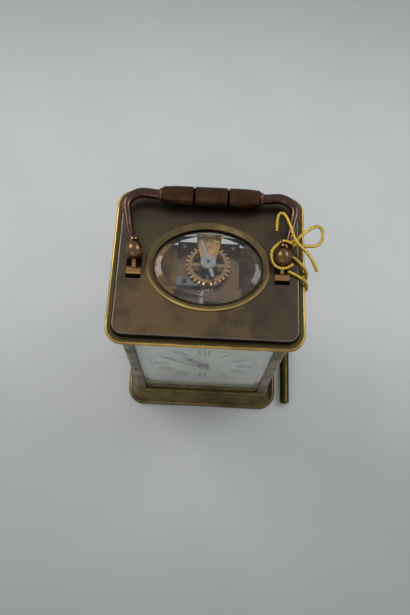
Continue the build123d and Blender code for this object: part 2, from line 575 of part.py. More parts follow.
with BuildPart() as back_plate:
    add_box((-PLATE_HALF, PLATE_HALF), BACK_PLATE_Y, (FLOOR_Z, PLATFORM_Z))
    through = (BACK_PLATE_Y[0] - 1, BACK_PLATE_Y[1] + 1)
    for at, radius in PIVOTS.values():
        add_rod_y(at, through, radius + RUN, mode=Mode.SUBTRACT)
    add_rod_y(CENTRE_AT, through, 1.0 + RUN, mode=Mode.SUBTRACT)
    add_rod_y(BARREL_AT, through, 2.2 + RUN, mode=Mode.SUBTRACT)
    for post in MOVEMENT_POSTS:
        add_rod_y(post, through, 1.5, mode=Mode.SUBTRACT)
    add_rod_y(CLICK_AT, (BACK_PLATE_Y[1], BACK_PLATE_Y[1] + 2.4), 1.0)

with BuildPart() as movement_pillars:
    for post in MOVEMENT_POSTS:
        add_rod_y(post, (FRONT_PLATE_Y[1], BACK_PLATE_Y[0]), 3.0)
        add_rod_y(post, (FRONT_PLATE_Y[0] - 0.6, BACK_PLATE_Y[1] + 0.6), 1.5)
    for px, py in MOVEMENT_SCREWS:
        add_rod_z((px, py), (FLOOR_Z + 2.0, FLOOR_Z + 5.0), 1.4, mode=Mode.SUBTRACT)

# Winding work and barrel
with BuildPart() as winding_arbor:
    add_rod_y(BARREL_AT, (ARBOR_Y[0], GREAT_WHEEL_Y[0] - 0.3), 1.6)
    add_rod_y(BARREL_AT, (GREAT_WHEEL_Y[0] - 0.3, DRUM_Y[1] + 0.3), 2.6)
    add_rod_y(BARREL_AT, (DRUM_Y[1] + 0.3, BACK_PLATE_Y[1] + 0.5), 2.2)
    with BuildSketch(across(SQUARE_END)):
        with Locations(BARREL_AT):
            Rectangle(3.0, 3.0)
    extrude(amount=SQUARE_END - BACK_PLATE_Y[1] - 0.5)

RATCHET_Y = (BACK_PLATE_Y[1] + 0.5, BACK_PLATE_Y[1] + 1.9)
RATCHET_TIP = 8.6
with BuildPart() as ratchet_wheel:
    saw = []
    for k in range(RATCHET_TEETH):
        saw_angle = 2 * pi * k / RATCHET_TEETH
        saw.append((RATCHET_TIP * cos(saw_angle), RATCHET_TIP * sin(saw_angle)))
        saw_root = RATCHET_TIP - 1.0
        saw.append((saw_root * cos(saw_angle + 0.02), saw_root * sin(saw_angle + 0.02)))
    add_outline(across(RATCHET_Y[1]), BARREL_AT, saw, RATCHET_Y[1] - RATCHET_Y[0])
    with BuildSketch(across(RATCHET_Y[1])):
        with Locations(BARREL_AT):
            Rectangle(3.0, 3.0)
    extrude(amount=RATCHET_Y[1] - RATCHET_Y[0], mode=Mode.SUBTRACT)

with BuildPart() as click:
    beak_angle = radians(70)
    beak_reach = RATCHET_TIP + 0.25
    beak = (BARREL_AT[0] + beak_reach * cos(beak_angle), BARREL_AT[1] + beak_reach * sin(beak_angle))
    with BuildSketch(across(RATCHET_Y[1])):
        with BuildLine():
            Polyline(beak, (CLICK_AT[0] - 1.6, CLICK_AT[1] - 1.7), (CLICK_AT[0] - 1.0, CLICK_AT[1] + 1.9),
                     (beak[0] + 0.4, beak[1] + 0.8), close=True)
        make_face()
        with Locations(CLICK_AT):
            Circle(2.3)
            Circle(1.0 + RUN, mode=Mode.SUBTRACT)
    extrude(amount=RATCHET_Y[1] - RATCHET_Y[0])

with BuildPart() as click_spring:
    leaf_root = (CLICK_AT[0] + 7.0, CLICK_AT[1] + 5.4)
    leaf_tip = (beak[0] + 3.2, beak[1] + 3.2)
    leaf = [leaf_root, (leaf_root[0], leaf_root[1] + 0.4), (leaf_tip[0], leaf_tip[1] + 0.4), leaf_tip]
    add_outline(across(BACK_PLATE_Y[1] + 1.7), (0, 0), leaf, 1.2)
    add_box((leaf_root[0] - 0.6, leaf_root[0] + 4.0), (BACK_PLATE_Y[1], BACK_PLATE_Y[1] + 2.0),
            (leaf_root[1] - 1.2, leaf_root[1] + 1.6))

with BuildPart() as barrel:
    add_wheel(BARREL_AT, GREAT_WHEEL_Y, GREAT_TEETH, GREAT_MODULE, GREAT_PHASE)
    add_rod_y(BARREL_AT, DRUM_Y, 16.5)
    add_rod_y(BARREL_AT, (DRUM_Y[0] + 0.8, DRUM_Y[1] + 1), 15.3, mode=Mode.SUBTRACT)
    add_rod_y(BARREL_AT, (GREAT_WHEEL_Y[0] - 1, DRUM_Y[0] + 2), 2.6 + RUN, mode=Mode.SUBTRACT)

with BuildPart() as barrel_cap:
    add_rod_y(BARREL_AT, (DRUM_Y[1] - 1.4, DRUM_Y[1]), 15.3)
    add_rod_y(BARREL_AT, (DRUM_Y[1] - 2, DRUM_Y[1] + 1), 2.6 + RUN, mode=Mode.SUBTRACT)

with BuildPart() as mainspring:
    add_rod_y(BARREL_AT, (DRUM_Y[0] + 1.1, DRUM_Y[1] - 1.7), 15.3)
    add_rod_y(BARREL_AT, (DRUM_Y[0], DRUM_Y[1]), 9.0, mode=Mode.SUBTRACT)

# Going train wheels and arbors
with BuildPart() as intermediate_wheel:
    add_wheel(MID_AT, MID_WHEEL_Y, MID_TEETH, MID_MODULE, MID_PHASE)
    cut_crossings(MID_AT, MID_WHEEL_Y, 4.0, 12.2, 4, 1.8)
    add_rod_y(MID_AT, MID_WHEEL_Y, 1.3, mode=Mode.SUBTRACT)

with BuildPart() as intermediate_arbor:
    add_rod_y(MID_AT, ARBOR_Y, 0.7)
    add_rod_y(MID_AT, (MID_WHEEL_Y[0] - 0.8, BACK_PLATE_Y[0] - 0.6), 1.3)
    add_leaves(MID_AT, MID_LEAF_Y, MID_LEAVES, GREAT_MODULE, MID_LEAF_PHASE)

with BuildPart() as centre_wheel:
    add_wheel(CENTRE_AT, CENTRE_WHEEL_Y, CENTRE_TEETH, CENTRE_MODULE, CENTRE_PHASE)
    cut_crossings(CENTRE_AT, CENTRE_WHEEL_Y, 4.0, 11.8, 4, 1.7)
    add_leaves(CENTRE_AT, CENTRE_LEAF_Y, CENTRE_LEAVES, MID_MODULE, CENTRE_LEAF_PHASE)
    add_rod_y(CENTRE_AT, (FRONT_PLATE_Y[1] + 0.4, CENTRE_WHEEL_Y[1] + 2.0), 1.7)
    add_rod_y(CENTRE_AT, (FRONT_PLATE_Y[1] - 1, CENTRE_WHEEL_Y[1] + 4.0), 1.0 + RUN, mode=Mode.SUBTRACT)

with BuildPart() as third_wheel:
    add_wheel(THIRD_AT, THIRD_WHEEL_Y, THIRD_TEETH, THIRD_MODULE, THIRD_PHASE)
    cut_crossings(THIRD_AT, THIRD_WHEEL_Y, 3.6, 11.0, 4, 1.6)
    add_rod_y(THIRD_AT, THIRD_WHEEL_Y, 1.1, mode=Mode.SUBTRACT)

with BuildPart() as third_arbor:
    add_rod_y(THIRD_AT, ARBOR_Y, 0.6)
    add_rod_y(THIRD_AT, (THIRD_LEAF_Y[0] - 0.4, BACK_PLATE_Y[0] - 0.6), 1.1)
    add_leaves(THIRD_AT, THIRD_LEAF_Y, THIRD_LEAVES, CENTRE_MODULE, THIRD_LEAF_PHASE)

CROWN_PITCH = 2 * pi / CONTRATE_TEETH
with BuildPart() as contrate_wheel:
    add_rod_y(CONTRATE_AT, CONTRATE_WEB_Y, CONTRATE_RADIUS + 0.6)
    cut_crossings(CONTRATE_AT, CONTRATE_WEB_Y, 3.2, 9.4, 4, 1.5)
    add_rod_y(CONTRATE_AT, CONTRATE_WEB_Y, 1.1, mode=Mode.SUBTRACT)
    crown_at = (CONTRATE_AT[0], CONTRATE_WEB_Y[1], CONTRATE_AT[1])
    crown_plane = Plane(origin=crown_at, x_dir=(1, 0, 0), z_dir=(0, 0, 1))
    half_root = 0.28 * CROWN_PITCH * CONTRATE_RADIUS
    half_tip = 0.10 * CROWN_PITCH * CONTRATE_RADIUS
    with BuildSketch(crown_plane.offset(CONTRATE_RADIUS - 0.6)):
        with BuildLine():
            Polyline((-half_root, -0.1), (half_root, -0.1), (half_tip, CONTRATE_TOOTH),
                     (-half_tip, CONTRATE_TOOTH), close=True)
        make_face()
    crown_tooth = extrude(amount=1.2, mode=Mode.PRIVATE)
    crown_axis = Axis((CONTRATE_AT[0], 0, CONTRATE_AT[1]), (0, 1, 0))
    add([crown_tooth.rotate(crown_axis, 360 * k / CONTRATE_TEETH) for k in range(CONTRATE_TEETH)])

with BuildPart() as contrate_arbor:
    add_rod_y(CONTRATE_AT, ARBOR_Y, 0.6)
    add_rod_y(CONTRATE_AT, (CONTRATE_WEB_Y[0] - 0.8, BACK_PLATE_Y[0] - 0.6), 1.1)
    add_leaves(CONTRATE_AT, CONTRATE_LEAF_Y, CONTRATE_LEAVES, THIRD_MODULE, CONTRATE_LEAF_PHASE)

# Motion work and hands
with BuildPart() as minute_arbor:
    add_rod_y(CENTRE_AT, (DIAL_FACE_Y - 1.9, BACK_PLATE_Y[1] + 0.6), 1.0)
    add_wheel(CENTRE_AT, (FRONT_PLATE_Y[0] - 1.8, FRONT_PLATE_Y[0] - 0.5), CANNON_TEETH, MOTION_MODULE, 0.0)
    with BuildSketch(across(SQUARE_END)):
        with Locations(CENTRE_AT):
            Rectangle(2.4, 2.4)
    extrude(amount=SQUARE_END - BACK_PLATE_Y[1] - 0.6)

with BuildPart() as minute_wheel:
    add_wheel(MINUTE_AT, (FRONT_PLATE_Y[0] - 1.6, FRONT_PLATE_Y[0] - 0.6), MINUTE_TEETH, MOTION_MODULE,
              MINUTE_PHASE)
    add_leaves(MINUTE_AT, (FRONT_PLATE_Y[0] - 2.9, FRONT_PLATE_Y[0] - 1.6), MINUTE_LEAVES, HOUR_MODULE, 0.0)
    add_rod_y(MINUTE_AT, (FRONT_PLATE_Y[0] - 4, FRONT_PLATE_Y[0]), 1.0 + RUN, mode=Mode.SUBTRACT)

HOUR_PIPE = 2.2
with BuildPart() as hour_wheel:
    add_wheel(CENTRE_AT, (FRONT_PLATE_Y[0] - 2.9, FRONT_PLATE_Y[0] - 2.0), HOUR_TEETH, HOUR_MODULE,
              HOUR_PHASE)
    add_rod_y(CENTRE_AT, (DIAL_FACE_Y - 0.95, FRONT_PLATE_Y[0] - 2.0), HOUR_PIPE)
    add_rod_y(CENTRE_AT, (DIAL_FACE_Y - 2, FRONT_PLATE_Y[0]), 1.0 + RUN, mode=Mode.SUBTRACT)

with BuildPart() as hour_hand:
    hour_y = (DIAL_FACE_Y - 0.9, DIAL_FACE_Y - 0.6)
    add_hand(hour_y, 30 * (CLOCK_HOURS + CLOCK_MINUTES / 60), 18.0, 4.0, 12.6, 1.7)
    add_rod_y(CENTRE_AT, hour_y, 3.2)
    add_rod_y(CENTRE_AT, hour_y, HOUR_PIPE, mode=Mode.SUBTRACT)

with BuildPart() as minute_hand:
    minute_y = (DIAL_FACE_Y - 1.6, DIAL_FACE_Y - 1.3)
    add_hand(minute_y, 6 * CLOCK_MINUTES, 25.6, 5.0, 18.6, 1.3)
    add_rod_y(CENTRE_AT, minute_y, 2.2)
    add_rod_y(CENTRE_AT, minute_y, 1.0, mode=Mode.SUBTRACT)

# Platform and lever escapement
ESCAPE_WHEEL_Z = (PLATFORM_TOP + 0.8, PLATFORM_TOP + 1.3)
LEVER_Z = (PLATFORM_TOP + 1.5, PLATFORM_TOP + 2.0)
BALANCE_Z = (PLATFORM_TOP + 3.8, PLATFORM_TOP + 5.2)
SPRING_Z = (PLATFORM_TOP + 5.7, PLATFORM_TOP + 6.0)
COCK_Z = (PLATFORM_TOP + 6.6, PLATFORM_TOP + 7.6)
INDEX_Z = (COCK_Z[1] + 0.05, COCK_Z[1] + 0.4)
PIVOT = 0.4
PLATFORM_BACK = BACK_PLATE_Y[1] + 0.8
PLATFORM_SCREWS = [
    (sx * 11.4, y) for sx in (-1, 1) for y in (FRONT_PLATE_Y[0] + 1.0, BACK_PLATE_Y[0] + 1.0)
]
with BuildPart() as platform:
    add_box((-PLATFORM_HALF, PLATFORM_HALF), (FRONT_PLATE_Y[0], PLATFORM_BACK), (PLATFORM_Z, PLATFORM_TOP))
    add_rod_z((0, ESCAPE_Y), (PLATFORM_Z - 1, PLATFORM_TOP + 1), 1.6, mode=Mode.SUBTRACT)
    add_rod_z((0, LEVER_Y), (PLATFORM_Z - 1, PLATFORM_TOP + 1), PIVOT + RUN, mode=Mode.SUBTRACT)
    add_rod_z((0, BALANCE_Y), (PLATFORM_Z - 1, PLATFORM_TOP + 1), PIVOT + RUN, mode=Mode.SUBTRACT)

with BuildPart() as platform_screws:
    for spot in PLATFORM_SCREWS:
        add_rod_z(spot, (PLATFORM_TOP, PLATFORM_TOP + 0.7), 1.2)

with BuildPart() as escape_wheel:
    blade = []
    for k in range(ESCAPE_TEETH):
        step = 2 * pi / ESCAPE_TEETH
        for radius, share in ((2.9, 0.0), (4.2, 0.26), (4.1, 0.42), (2.9, 0.34)):
            blade.append((radius * cos((k + share) * step), radius * sin((k + share) * step)))
    blade_thick = ESCAPE_WHEEL_Z[1] - ESCAPE_WHEEL_Z[0]
    add_outline(Plane.XY.offset(ESCAPE_WHEEL_Z[0]), (0, ESCAPE_Y), blade, blade_thick)
    add_rod_z((0, ESCAPE_Y), ESCAPE_WHEEL_Z, 0.7, mode=Mode.SUBTRACT)

LEAF_Z = (CONTRATE_AT[1] + CONTRATE_RADIUS - 2.2, CONTRATE_AT[1] + CONTRATE_RADIUS + 1.6)
with BuildPart() as escape_arbor:
    add_rod_z((0, ESCAPE_Y), (LEAF_Z[0] - 1.8, PLATFORM_TOP + 3.2), PIVOT)
    add_rod_z((0, ESCAPE_Y), (LEAF_Z[0] - 0.3, PLATFORM_TOP + 2.3), 0.7)
    leaf_module = 2 * ESCAPE_PITCH_RADIUS / ESCAPE_LEAVES
    leaf_tip = ESCAPE_PITCH_RADIUS + 0.5 * leaf_module
    leaf_outline = tooth_points(ESCAPE_LEAVES, 0.72, leaf_tip, 0.34, 0.16, pi / 6 - pi / 2)
    add_outline(Plane.XY.offset(LEAF_Z[0]), (0, ESCAPE_Y), leaf_outline, LEAF_Z[1] - LEAF_Z[0])

with BuildPart() as escape_potence:
    arm_z = (LEAF_Z[0] - 1.9, LEAF_Z[0] - 0.6)
    add_box((-2.6, 2.6), (ESCAPE_Y + 2.6, ESCAPE_Y + 6.4), (PLATFORM_Z - 1.4, PLATFORM_Z))
    add_box((-1.7, 1.7), (ESCAPE_Y + 2.6, ESCAPE_Y + 4.2), (arm_z[0], PLATFORM_Z))
    add_box((-1.4, 1.4), (ESCAPE_Y - 1.3, ESCAPE_Y + 4.2), arm_z)
    add_rod_z((0, ESCAPE_Y), (arm_z[0] - 1, arm_z[1] + 1), PIVOT + RUN, mode=Mode.SUBTRACT)

with BuildPart() as escape_cock:
    top_z = (PLATFORM_TOP + 2.7, PLATFORM_TOP + 3.5)
    add_box((5.2, 8.6), (ESCAPE_Y - 1.8, ESCAPE_Y + 1.8), (PLATFORM_TOP, top_z[1]))
    add_box((-1.5, 8.6), (ESCAPE_Y - 1.4, ESCAPE_Y + 1.4), top_z)
    add_rod_z((0, ESCAPE_Y), (top_z[0] - 1, top_z[1] + 1), PIVOT + RUN, mode=Mode.SUBTRACT)

with BuildPart() as lever:
    pallet_reach = 2.4
    pallet_drop = 0.95
    shape = [(-0.5, 0), (-0.45, 5.0), (-1.0, 5.3), (-0.9, 6.1), (-0.5, 6.1), (-0.4, 5.6), (0.4, 5.6),
             (0.5, 6.1), (0.9, 6.1), (1.0, 5.3), (0.45, 5.0), (0.5, 0), (2.7, -0.3), (2.7, -pallet_drop),
             (2.1, -pallet_drop), (0.5, -0.8), (-0.5, -0.8), (-2.1, -pallet_drop), (-2.7, -pallet_drop),
             (-2.7, -0.3)]
    add_outline(Plane.XY.offset(LEVER_Z[0]), (0, LEVER_Y), shape, LEVER_Z[1] - LEVER_Z[0])
    for side in (-1, 1):
        add_box((side * pallet_reach - 0.3, side * pallet_reach + 0.3),
                (LEVER_Y - pallet_drop, LEVER_Y - 0.3), (ESCAPE_WHEEL_Z[0], LEVER_Z[1]))
    add_rod_z((0, LEVER_Y), (PLATFORM_Z + 0.2, LEVER_Z[1] + 0.9), PIVOT)

with BuildPart() as lever_cock:
    top_z = (LEVER_Z[1] + 0.3, LEVER_Z[1] + 1.1)
    add_box((-PLATFORM_HALF + 0.5, -6.5), (LEVER_Y - 1.1, LEVER_Y + 2.7), (PLATFORM_TOP, top_z[1]))
    add_box((-6.6, 1.2), (LEVER_Y - 1.1, LEVER_Y + 1.1), top_z)
    add_rod_z((0, LEVER_Y), (top_z[0] - 1, top_z[1] + 1), PIVOT + RUN, mode=Mode.SUBTRACT)

with BuildPart() as balance_wheel:
    add_rod_z((0, BALANCE_Y), BALANCE_Z, BALANCE_RADIUS)
    add_rod_z((0, BALANCE_Y), BALANCE_Z, BALANCE_RADIUS - 1.4, mode=Mode.SUBTRACT)
    arm_half = BALANCE_RADIUS - 1.0
    arm_z = (BALANCE_Z[0], BALANCE_Z[0] + 0.8)
    add_box((-arm_half, arm_half), (BALANCE_Y - 0.8, BALANCE_Y + 0.8), arm_z)
    add_rod_z((0, BALANCE_Y), arm_z, 1.9)
    add_rod_z((0, BALANCE_Y), BALANCE_Z, 0.8, mode=Mode.SUBTRACT)

SCREW_FIRST = 10.0
SCREW_STEP = 13.0
SCREWS_A_SIDE = 12
with BuildPart() as timing_screws:
    screw_z = (BALANCE_Z[0] + BALANCE_Z[1]) / 2
    for side in (-1, 1):
        for k in range(SCREWS_A_SIDE):
            turn = radians(-90 + side * (SCREW_FIRST + SCREW_STEP * k))
            out = Vector(cos(turn), sin(turn), 0)
            with BuildSketch(Plane(origin=Vector(0, BALANCE_Y, screw_z) + out * BALANCE_RADIUS, z_dir=out)):
                Circle(0.56)
            extrude(amount=1.2)

with BuildPart() as balance_staff:
    add_rod_z((0, BALANCE_Y), (PLATFORM_Z + 0.2, COCK_Z[1] - 0.1), PIVOT)
    add_rod_z((0, BALANCE_Y), (PLATFORM_TOP + 0.3, COCK_Z[0] - 0.3), 0.8)
    add_rod_z((0, BALANCE_Y), (LEVER_Z[1] + 0.35, LEVER_Z[1] + 0.85), 2.2)
    add_rod_z((0, BALANCE_Y - 1.5), (LEVER_Z[0], LEVER_Z[1] + 0.5), 0.3)
    add_rod_z((0, BALANCE_Y), (SPRING_Z[0] - 0.1, SPRING_Z[1] + 0.1), 1.3)

SPRING_TURNS = 5
SPRING_PITCH = 0.68
SPRING_START = 1.3
SPRING_THICK = 0.14
with BuildPart() as hairspring:
    with BuildSketch(Plane(origin=(0, BALANCE_Y, SPRING_Z[0]), x_dir=(-1, 0, 0))):
        with BuildLine():
            for edge_shift in (0, SPRING_THICK):
                reach = SPRING_START + edge_shift
                for k in range(2 * SPRING_TURNS):
                    sign = 1 if k % 2 == 0 else -1
                    span = 2 * reach + SPRING_PITCH / 2
                    far_side = (sign * span / 2, -sign * (reach - span / 2))
                    ThreePointArc((0, -sign * reach), far_side, (0, sign * (span - reach)))
                    reach = span - reach
            Line((0, -SPRING_START), (0, -SPRING_START - SPRING_THICK))
            last = SPRING_START + SPRING_TURNS * SPRING_PITCH
            Line((0, -last), (0, -last - SPRING_THICK))
        make_face()
    extrude(amount=SPRING_Z[1] - SPRING_Z[0])

COCK_FOOT_Y = (BALANCE_Y + 10.4, BALANCE_Y + 12.6)
with BuildPart() as balance_cock:
    add_box((-5.5, 5.5), COCK_FOOT_Y, (PLATFORM_TOP, COCK_Z[1]))
    with BuildSketch(Plane.XY.offset(COCK_Z[0])):
        with BuildLine():
            Polyline((-5.5, COCK_FOOT_Y[0] + 0.5), (5.5, COCK_FOOT_Y[0] + 0.5), (3.3, BALANCE_Y + 1.0),
                     (-3.3, BALANCE_Y + 1.0), close=True)
        make_face()
        with Locations((0, BALANCE_Y)):
            Circle(3.45)
    extrude(amount=COCK_Z[1] - COCK_Z[0])
    stud_y = BALANCE_Y + SPRING_START + SPRING_TURNS * SPRING_PITCH + SPRING_THICK
    add_box((-0.5, 0.5), (stud_y, stud_y + 0.8), (SPRING_Z[0], COCK_Z[0]))
    add_rod_z((0, BALANCE_Y), (COCK_Z[0] - 1, COCK_Z[1] + 1), PIVOT + RUN, mode=Mode.SUBTRACT)

with BuildPart() as endstone_cap:
    add_rod_z((0, BALANCE_Y), (COCK_Z[1], INDEX_Z[1] + 0.05), 2.0)
    add_rod_z((0, BALANCE_Y), (INDEX_Z[1] + 0.05, INDEX_Z[1] + 0.6), 3.1)
    add_rod_z((0, BALANCE_Y), (INDEX_Z[1] + 0.1, INDEX_Z[1] + 1), 0.7, mode=Mode.SUBTRACT)

INDEX_ANGLE = 18.4
with BuildPart() as regulator_index:
    lean = radians(INDEX_ANGLE)
    with BuildSketch(Plane(origin=(0, BALANCE_Y, INDEX_Z[0]), x_dir=(cos(lean), sin(lean), 0))):
        with BuildLine():
            Polyline((-1.0, 0), (-0.35, 12.5), (0, 16.4), (0.35, 12.5), (1.0, 0), (0.7, -7.4), (-0.7, -7.4),
                     close=True)
        make_face()
        Circle(3.35)
        Circle(2.0 + RUN, mode=Mode.SUBTRACT)
    extrude(amount=INDEX_Z[1] - INDEX_Z[0])

# Winding key lying beside the clock
KEY_AT = (50.1, -34.4)
KEY_RADIUS = 2.7
with BuildPart() as winding_key:
    add_rod_y((KEY_AT[0], KEY_RADIUS), (KEY_AT[1], KEY_AT[1] + 36.0), KEY_RADIUS)
    with BuildSketch(across(KEY_AT[1] + 12.0)):
        with Locations((KEY_AT[0], KEY_RADIUS)):
            Rectangle(3.1, 3.1)
    extrude(amount=14.0, mode=Mode.SUBTRACT)
    with BuildSketch(Plane.XY.offset(KEY_RADIUS - 1.1)):
        with Locations((KEY_AT[0], KEY_AT[1] + 42.0)):
            Ellipse(5.6, 8.0)
        with Locations((KEY_AT[0], KEY_AT[1] + 44.0)):
            Ellipse(3.0, 3.4, mode=Mode.SUBTRACT)
    extrude(amount=2.2)

# Cord tied in a bow round the right arm: a ring on the arm, a knot, and a turn round the knop
CORD_RADIUS = 0.75
TIE_SHARE = 0.16
TIE_RADIUS = 1.8
tie_at = right_arm @ TIE_SHARE
KNOT_AT = tie_at + Vector(TIE_RADIUS + CORD_RADIUS + 0.5, 0.2, 1.6)
BALL_AT = Vector(HINGE_X, BALL_Y, BALL_Z)
with BuildPart() as bow_knot:
    along = right_arm % TIE_SHARE
    aside = along.cross(Vector(0, 0, 1)).normalized()
    with BuildSketch(Plane(origin=tie_at, x_dir=aside, z_dir=aside.cross(along))):
        with Locations((TIE_RADIUS + CORD_RADIUS, 0)):
            Circle(CORD_RADIUS)
    revolve(axis=Axis(tie_at, along))
    with Locations(KNOT_AT):
        Sphere(1.7)
    turn_start = tie_at - aside * (TIE_RADIUS + CORD_RADIUS)
    turn_points = [(-5.0, 3.8, 0.6), (-5.0, -1.8, -0.6), (-2.4, -5.2, -0.75), (1.8, -5.2, -0.75),
                   (4.2, -3.2, 0.0)]
    add_cord([tuple(turn_start)] + [tuple(BALL_AT + Vector(*point)) for point in turn_points], CORD_RADIUS)

BOW_Z = TOP_Z + 7.0
with BuildPart() as bow_loop:
    loop_start = tuple(KNOT_AT + Vector(0.3, 0.9, -0.3))
    loop_end = tuple(KNOT_AT + Vector(0.4, -0.9, -0.5))
    add_cord([loop_start, (43.6, 16.6, BOW_Z + 0.6), (49.0, 16.9, BOW_Z - 0.6), (48.6, 9.6, BOW_Z - 1.4),
              (43.4, 6.9, BOW_Z - 1.0), loop_end], CORD_RADIUS)

with BuildPart() as bow_tail:
    over_knot = tuple(KNOT_AT + Vector(-0.3, -0.2, 1.7))
    add_cord([(29.2, 15.0, TOP_Z + 4.4), (28.9, 21.4, TOP_Z + 6.2), (31.6, 23.2, TOP_Z + 7.6),
              (34.6, 15.6, TOP_Z + 8.6), over_knot, (41.2, 5.0, TOP_Z + 6.8), (44.8, 0.6, TOP_Z + 5.2),
              (46.4, -3.0, TOP_Z + 3.4)], CORD_RADIUS)

# Two more strands lie on the top and hang over its right edge
STRAND_Z = TOP_Z + CORD_RADIUS + 0.15
EDGE_X = RIM_WIDTH / 2 + CORD_RADIUS + 0.3
with BuildPart() as bow_strands:
    for start, slant in (((36.4, 4.6), -0.85), ((34.4, -2.2), -0.5)):
        bend = (EDGE_X - 4.4, start[1] + slant * (EDGE_X - 4.4 - start[0]), STRAND_Z + 0.5)
        over = (EDGE_X, bend[1] + slant * (EDGE_X - bend[0]), STRAND_Z - 2.6)
        add_cord([(*start, STRAND_Z), bend, over, (EDGE_X, over[1] - 0.4, over[2] - 6.0)], CORD_RADIUS)

PARTS = {
    "base_plinth": base_plinth, "base_screws": base_screws, "front_pillars": front_pillars,
    "rear_pillars": rear_pillars, "cornice_top": cornice_top, "oval_bezel": oval_bezel,
    "top_glass": top_glass, "front_glass": front_glass, "side_glasses": side_glasses,
    "door_frame": door_frame, "door_glass": door_glass, "door_knob": door_knob,
    "handle_arm_left": handle_arm_left, "handle_arm_right": handle_arm_right,
    "handle_grip": handle_grip, "grip_collars": grip_collars, "hinge_pins": hinge_pins, "dial": dial,
    "front_plate": front_plate, "back_plate": back_plate, "movement_pillars": movement_pillars,
    "winding_arbor": winding_arbor, "ratchet_wheel": ratchet_wheel, "click": click,
    "click_spring": click_spring, "barrel": barrel, "barrel_cap": barrel_cap,
    "mainspring": mainspring, "intermediate_wheel": intermediate_wheel,
    "intermediate_arbor": intermediate_arbor, "centre_wheel": centre_wheel,
    "third_wheel": third_wheel, "third_arbor": third_arbor, "contrate_wheel": contrate_wheel,
    "contrate_arbor": contrate_arbor, "minute_arbor": minute_arbor, "minute_wheel": minute_wheel,
    "hour_wheel": hour_wheel, "hour_hand": hour_hand, "minute_hand": minute_hand,
    "platform": platform, "platform_screws": platform_screws, "escape_wheel": escape_wheel,
    "escape_arbor": escape_arbor, "escape_potence": escape_potence, "escape_cock": escape_cock,
    "lever": lever, "lever_cock": lever_cock, "balance_wheel": balance_wheel,
    "timing_screws": timing_screws, "balance_staff": balance_staff, "hairspring": hairspring,
    "balance_cock": balance_cock, "endstone_cap": endstone_cap, "regulator_index": regulator_index,
    "winding_key": winding_key, "bow_knot": bow_knot, "bow_loop": bow_loop, "bow_tail": bow_tail,
    "bow_strands": bow_strands,
}

os.makedirs("parts", exist_ok=True)
for node, builder in PARTS.items():
    builder.part.label = node
    export_step(builder.part, f"parts/{node}.step")
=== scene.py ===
"""Looks of a glazed brass carriage clock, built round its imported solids.

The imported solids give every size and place. This script adds what they leave to the eye: patina, worn edges,
enamel with its printed hours, clear glass, slotted screw heads and the twisted cord tied round the handle.
Lengths in the tables below are millimetres, and meshes are written in metres.
"""

from __future__ import annotations

import json
import logging
from dataclasses import dataclass, field
from enum import Enum

import bmesh
import bpy
import numpy as np
from mathutils import Matrix, Vector

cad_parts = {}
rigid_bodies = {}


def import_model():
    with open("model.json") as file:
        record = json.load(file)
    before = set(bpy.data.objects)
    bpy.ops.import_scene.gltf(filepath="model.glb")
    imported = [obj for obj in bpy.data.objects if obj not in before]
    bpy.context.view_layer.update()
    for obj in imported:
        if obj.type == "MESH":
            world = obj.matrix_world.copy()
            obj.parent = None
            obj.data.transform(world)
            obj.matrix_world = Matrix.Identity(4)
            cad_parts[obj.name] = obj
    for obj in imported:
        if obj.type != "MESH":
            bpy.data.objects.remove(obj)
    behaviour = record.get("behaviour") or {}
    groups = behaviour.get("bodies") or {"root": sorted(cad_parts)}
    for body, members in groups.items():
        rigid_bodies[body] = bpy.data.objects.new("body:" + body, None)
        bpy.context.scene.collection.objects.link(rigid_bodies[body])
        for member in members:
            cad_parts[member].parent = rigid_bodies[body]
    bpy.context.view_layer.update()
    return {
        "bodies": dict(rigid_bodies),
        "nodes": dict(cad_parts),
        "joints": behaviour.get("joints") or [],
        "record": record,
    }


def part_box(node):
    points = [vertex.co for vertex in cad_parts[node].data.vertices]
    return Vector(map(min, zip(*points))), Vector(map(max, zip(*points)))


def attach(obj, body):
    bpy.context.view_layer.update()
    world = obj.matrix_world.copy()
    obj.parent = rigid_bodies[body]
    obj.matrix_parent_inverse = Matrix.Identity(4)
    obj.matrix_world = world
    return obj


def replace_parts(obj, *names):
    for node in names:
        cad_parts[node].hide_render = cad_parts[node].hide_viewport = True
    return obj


LOG = logging.getLogger("carriage_clock")
MM = 0.001

Array = np.ndarray
Rgb = tuple[float, float, float]
Point = tuple[float, float, float]
Pair = tuple[float, float]
Ramp = tuple[float, float, float, float]
ScrewSize = tuple[float, float, float, float]
Stroke = tuple[float, float, float, float, float]
Socket = bpy.types.NodeSocket
Value = Socket | float | Point
Material = bpy.types.Material

# Degrees between two faces above which their edge is drawn sharp
SHARP_ANGLE = 35.0
# Radius of the flat that closes a turned piece at its pole
POLE = 0.01
# Plies of the cord, length of one full twist and points round its section
ROPE_LOBES = 3
ROPE_TWIST = 3.2
ROPE_COLUMNS = 24
# Shares of the cord's radius in its core and in the swell of its plies
ROPE_CORE = 0.80
ROPE_SWELL = 0.20
# Direction that no stretch of the cord follows, from which its sections are set up
ROPE_GUIDE = (0.13, 0.21, 0.97)
# How far the halves of a slotted head reach into its disc, and how much of the slot's length they take
HEAD_BITE = 0.02
HEAD_REACH = 0.999


class Part(Enum):
    """Bodies of the clock that new pieces ride on."""

    CASE = "case"
    HANDLE = "handle"
    MINUTE = "minute"


# Node graphs


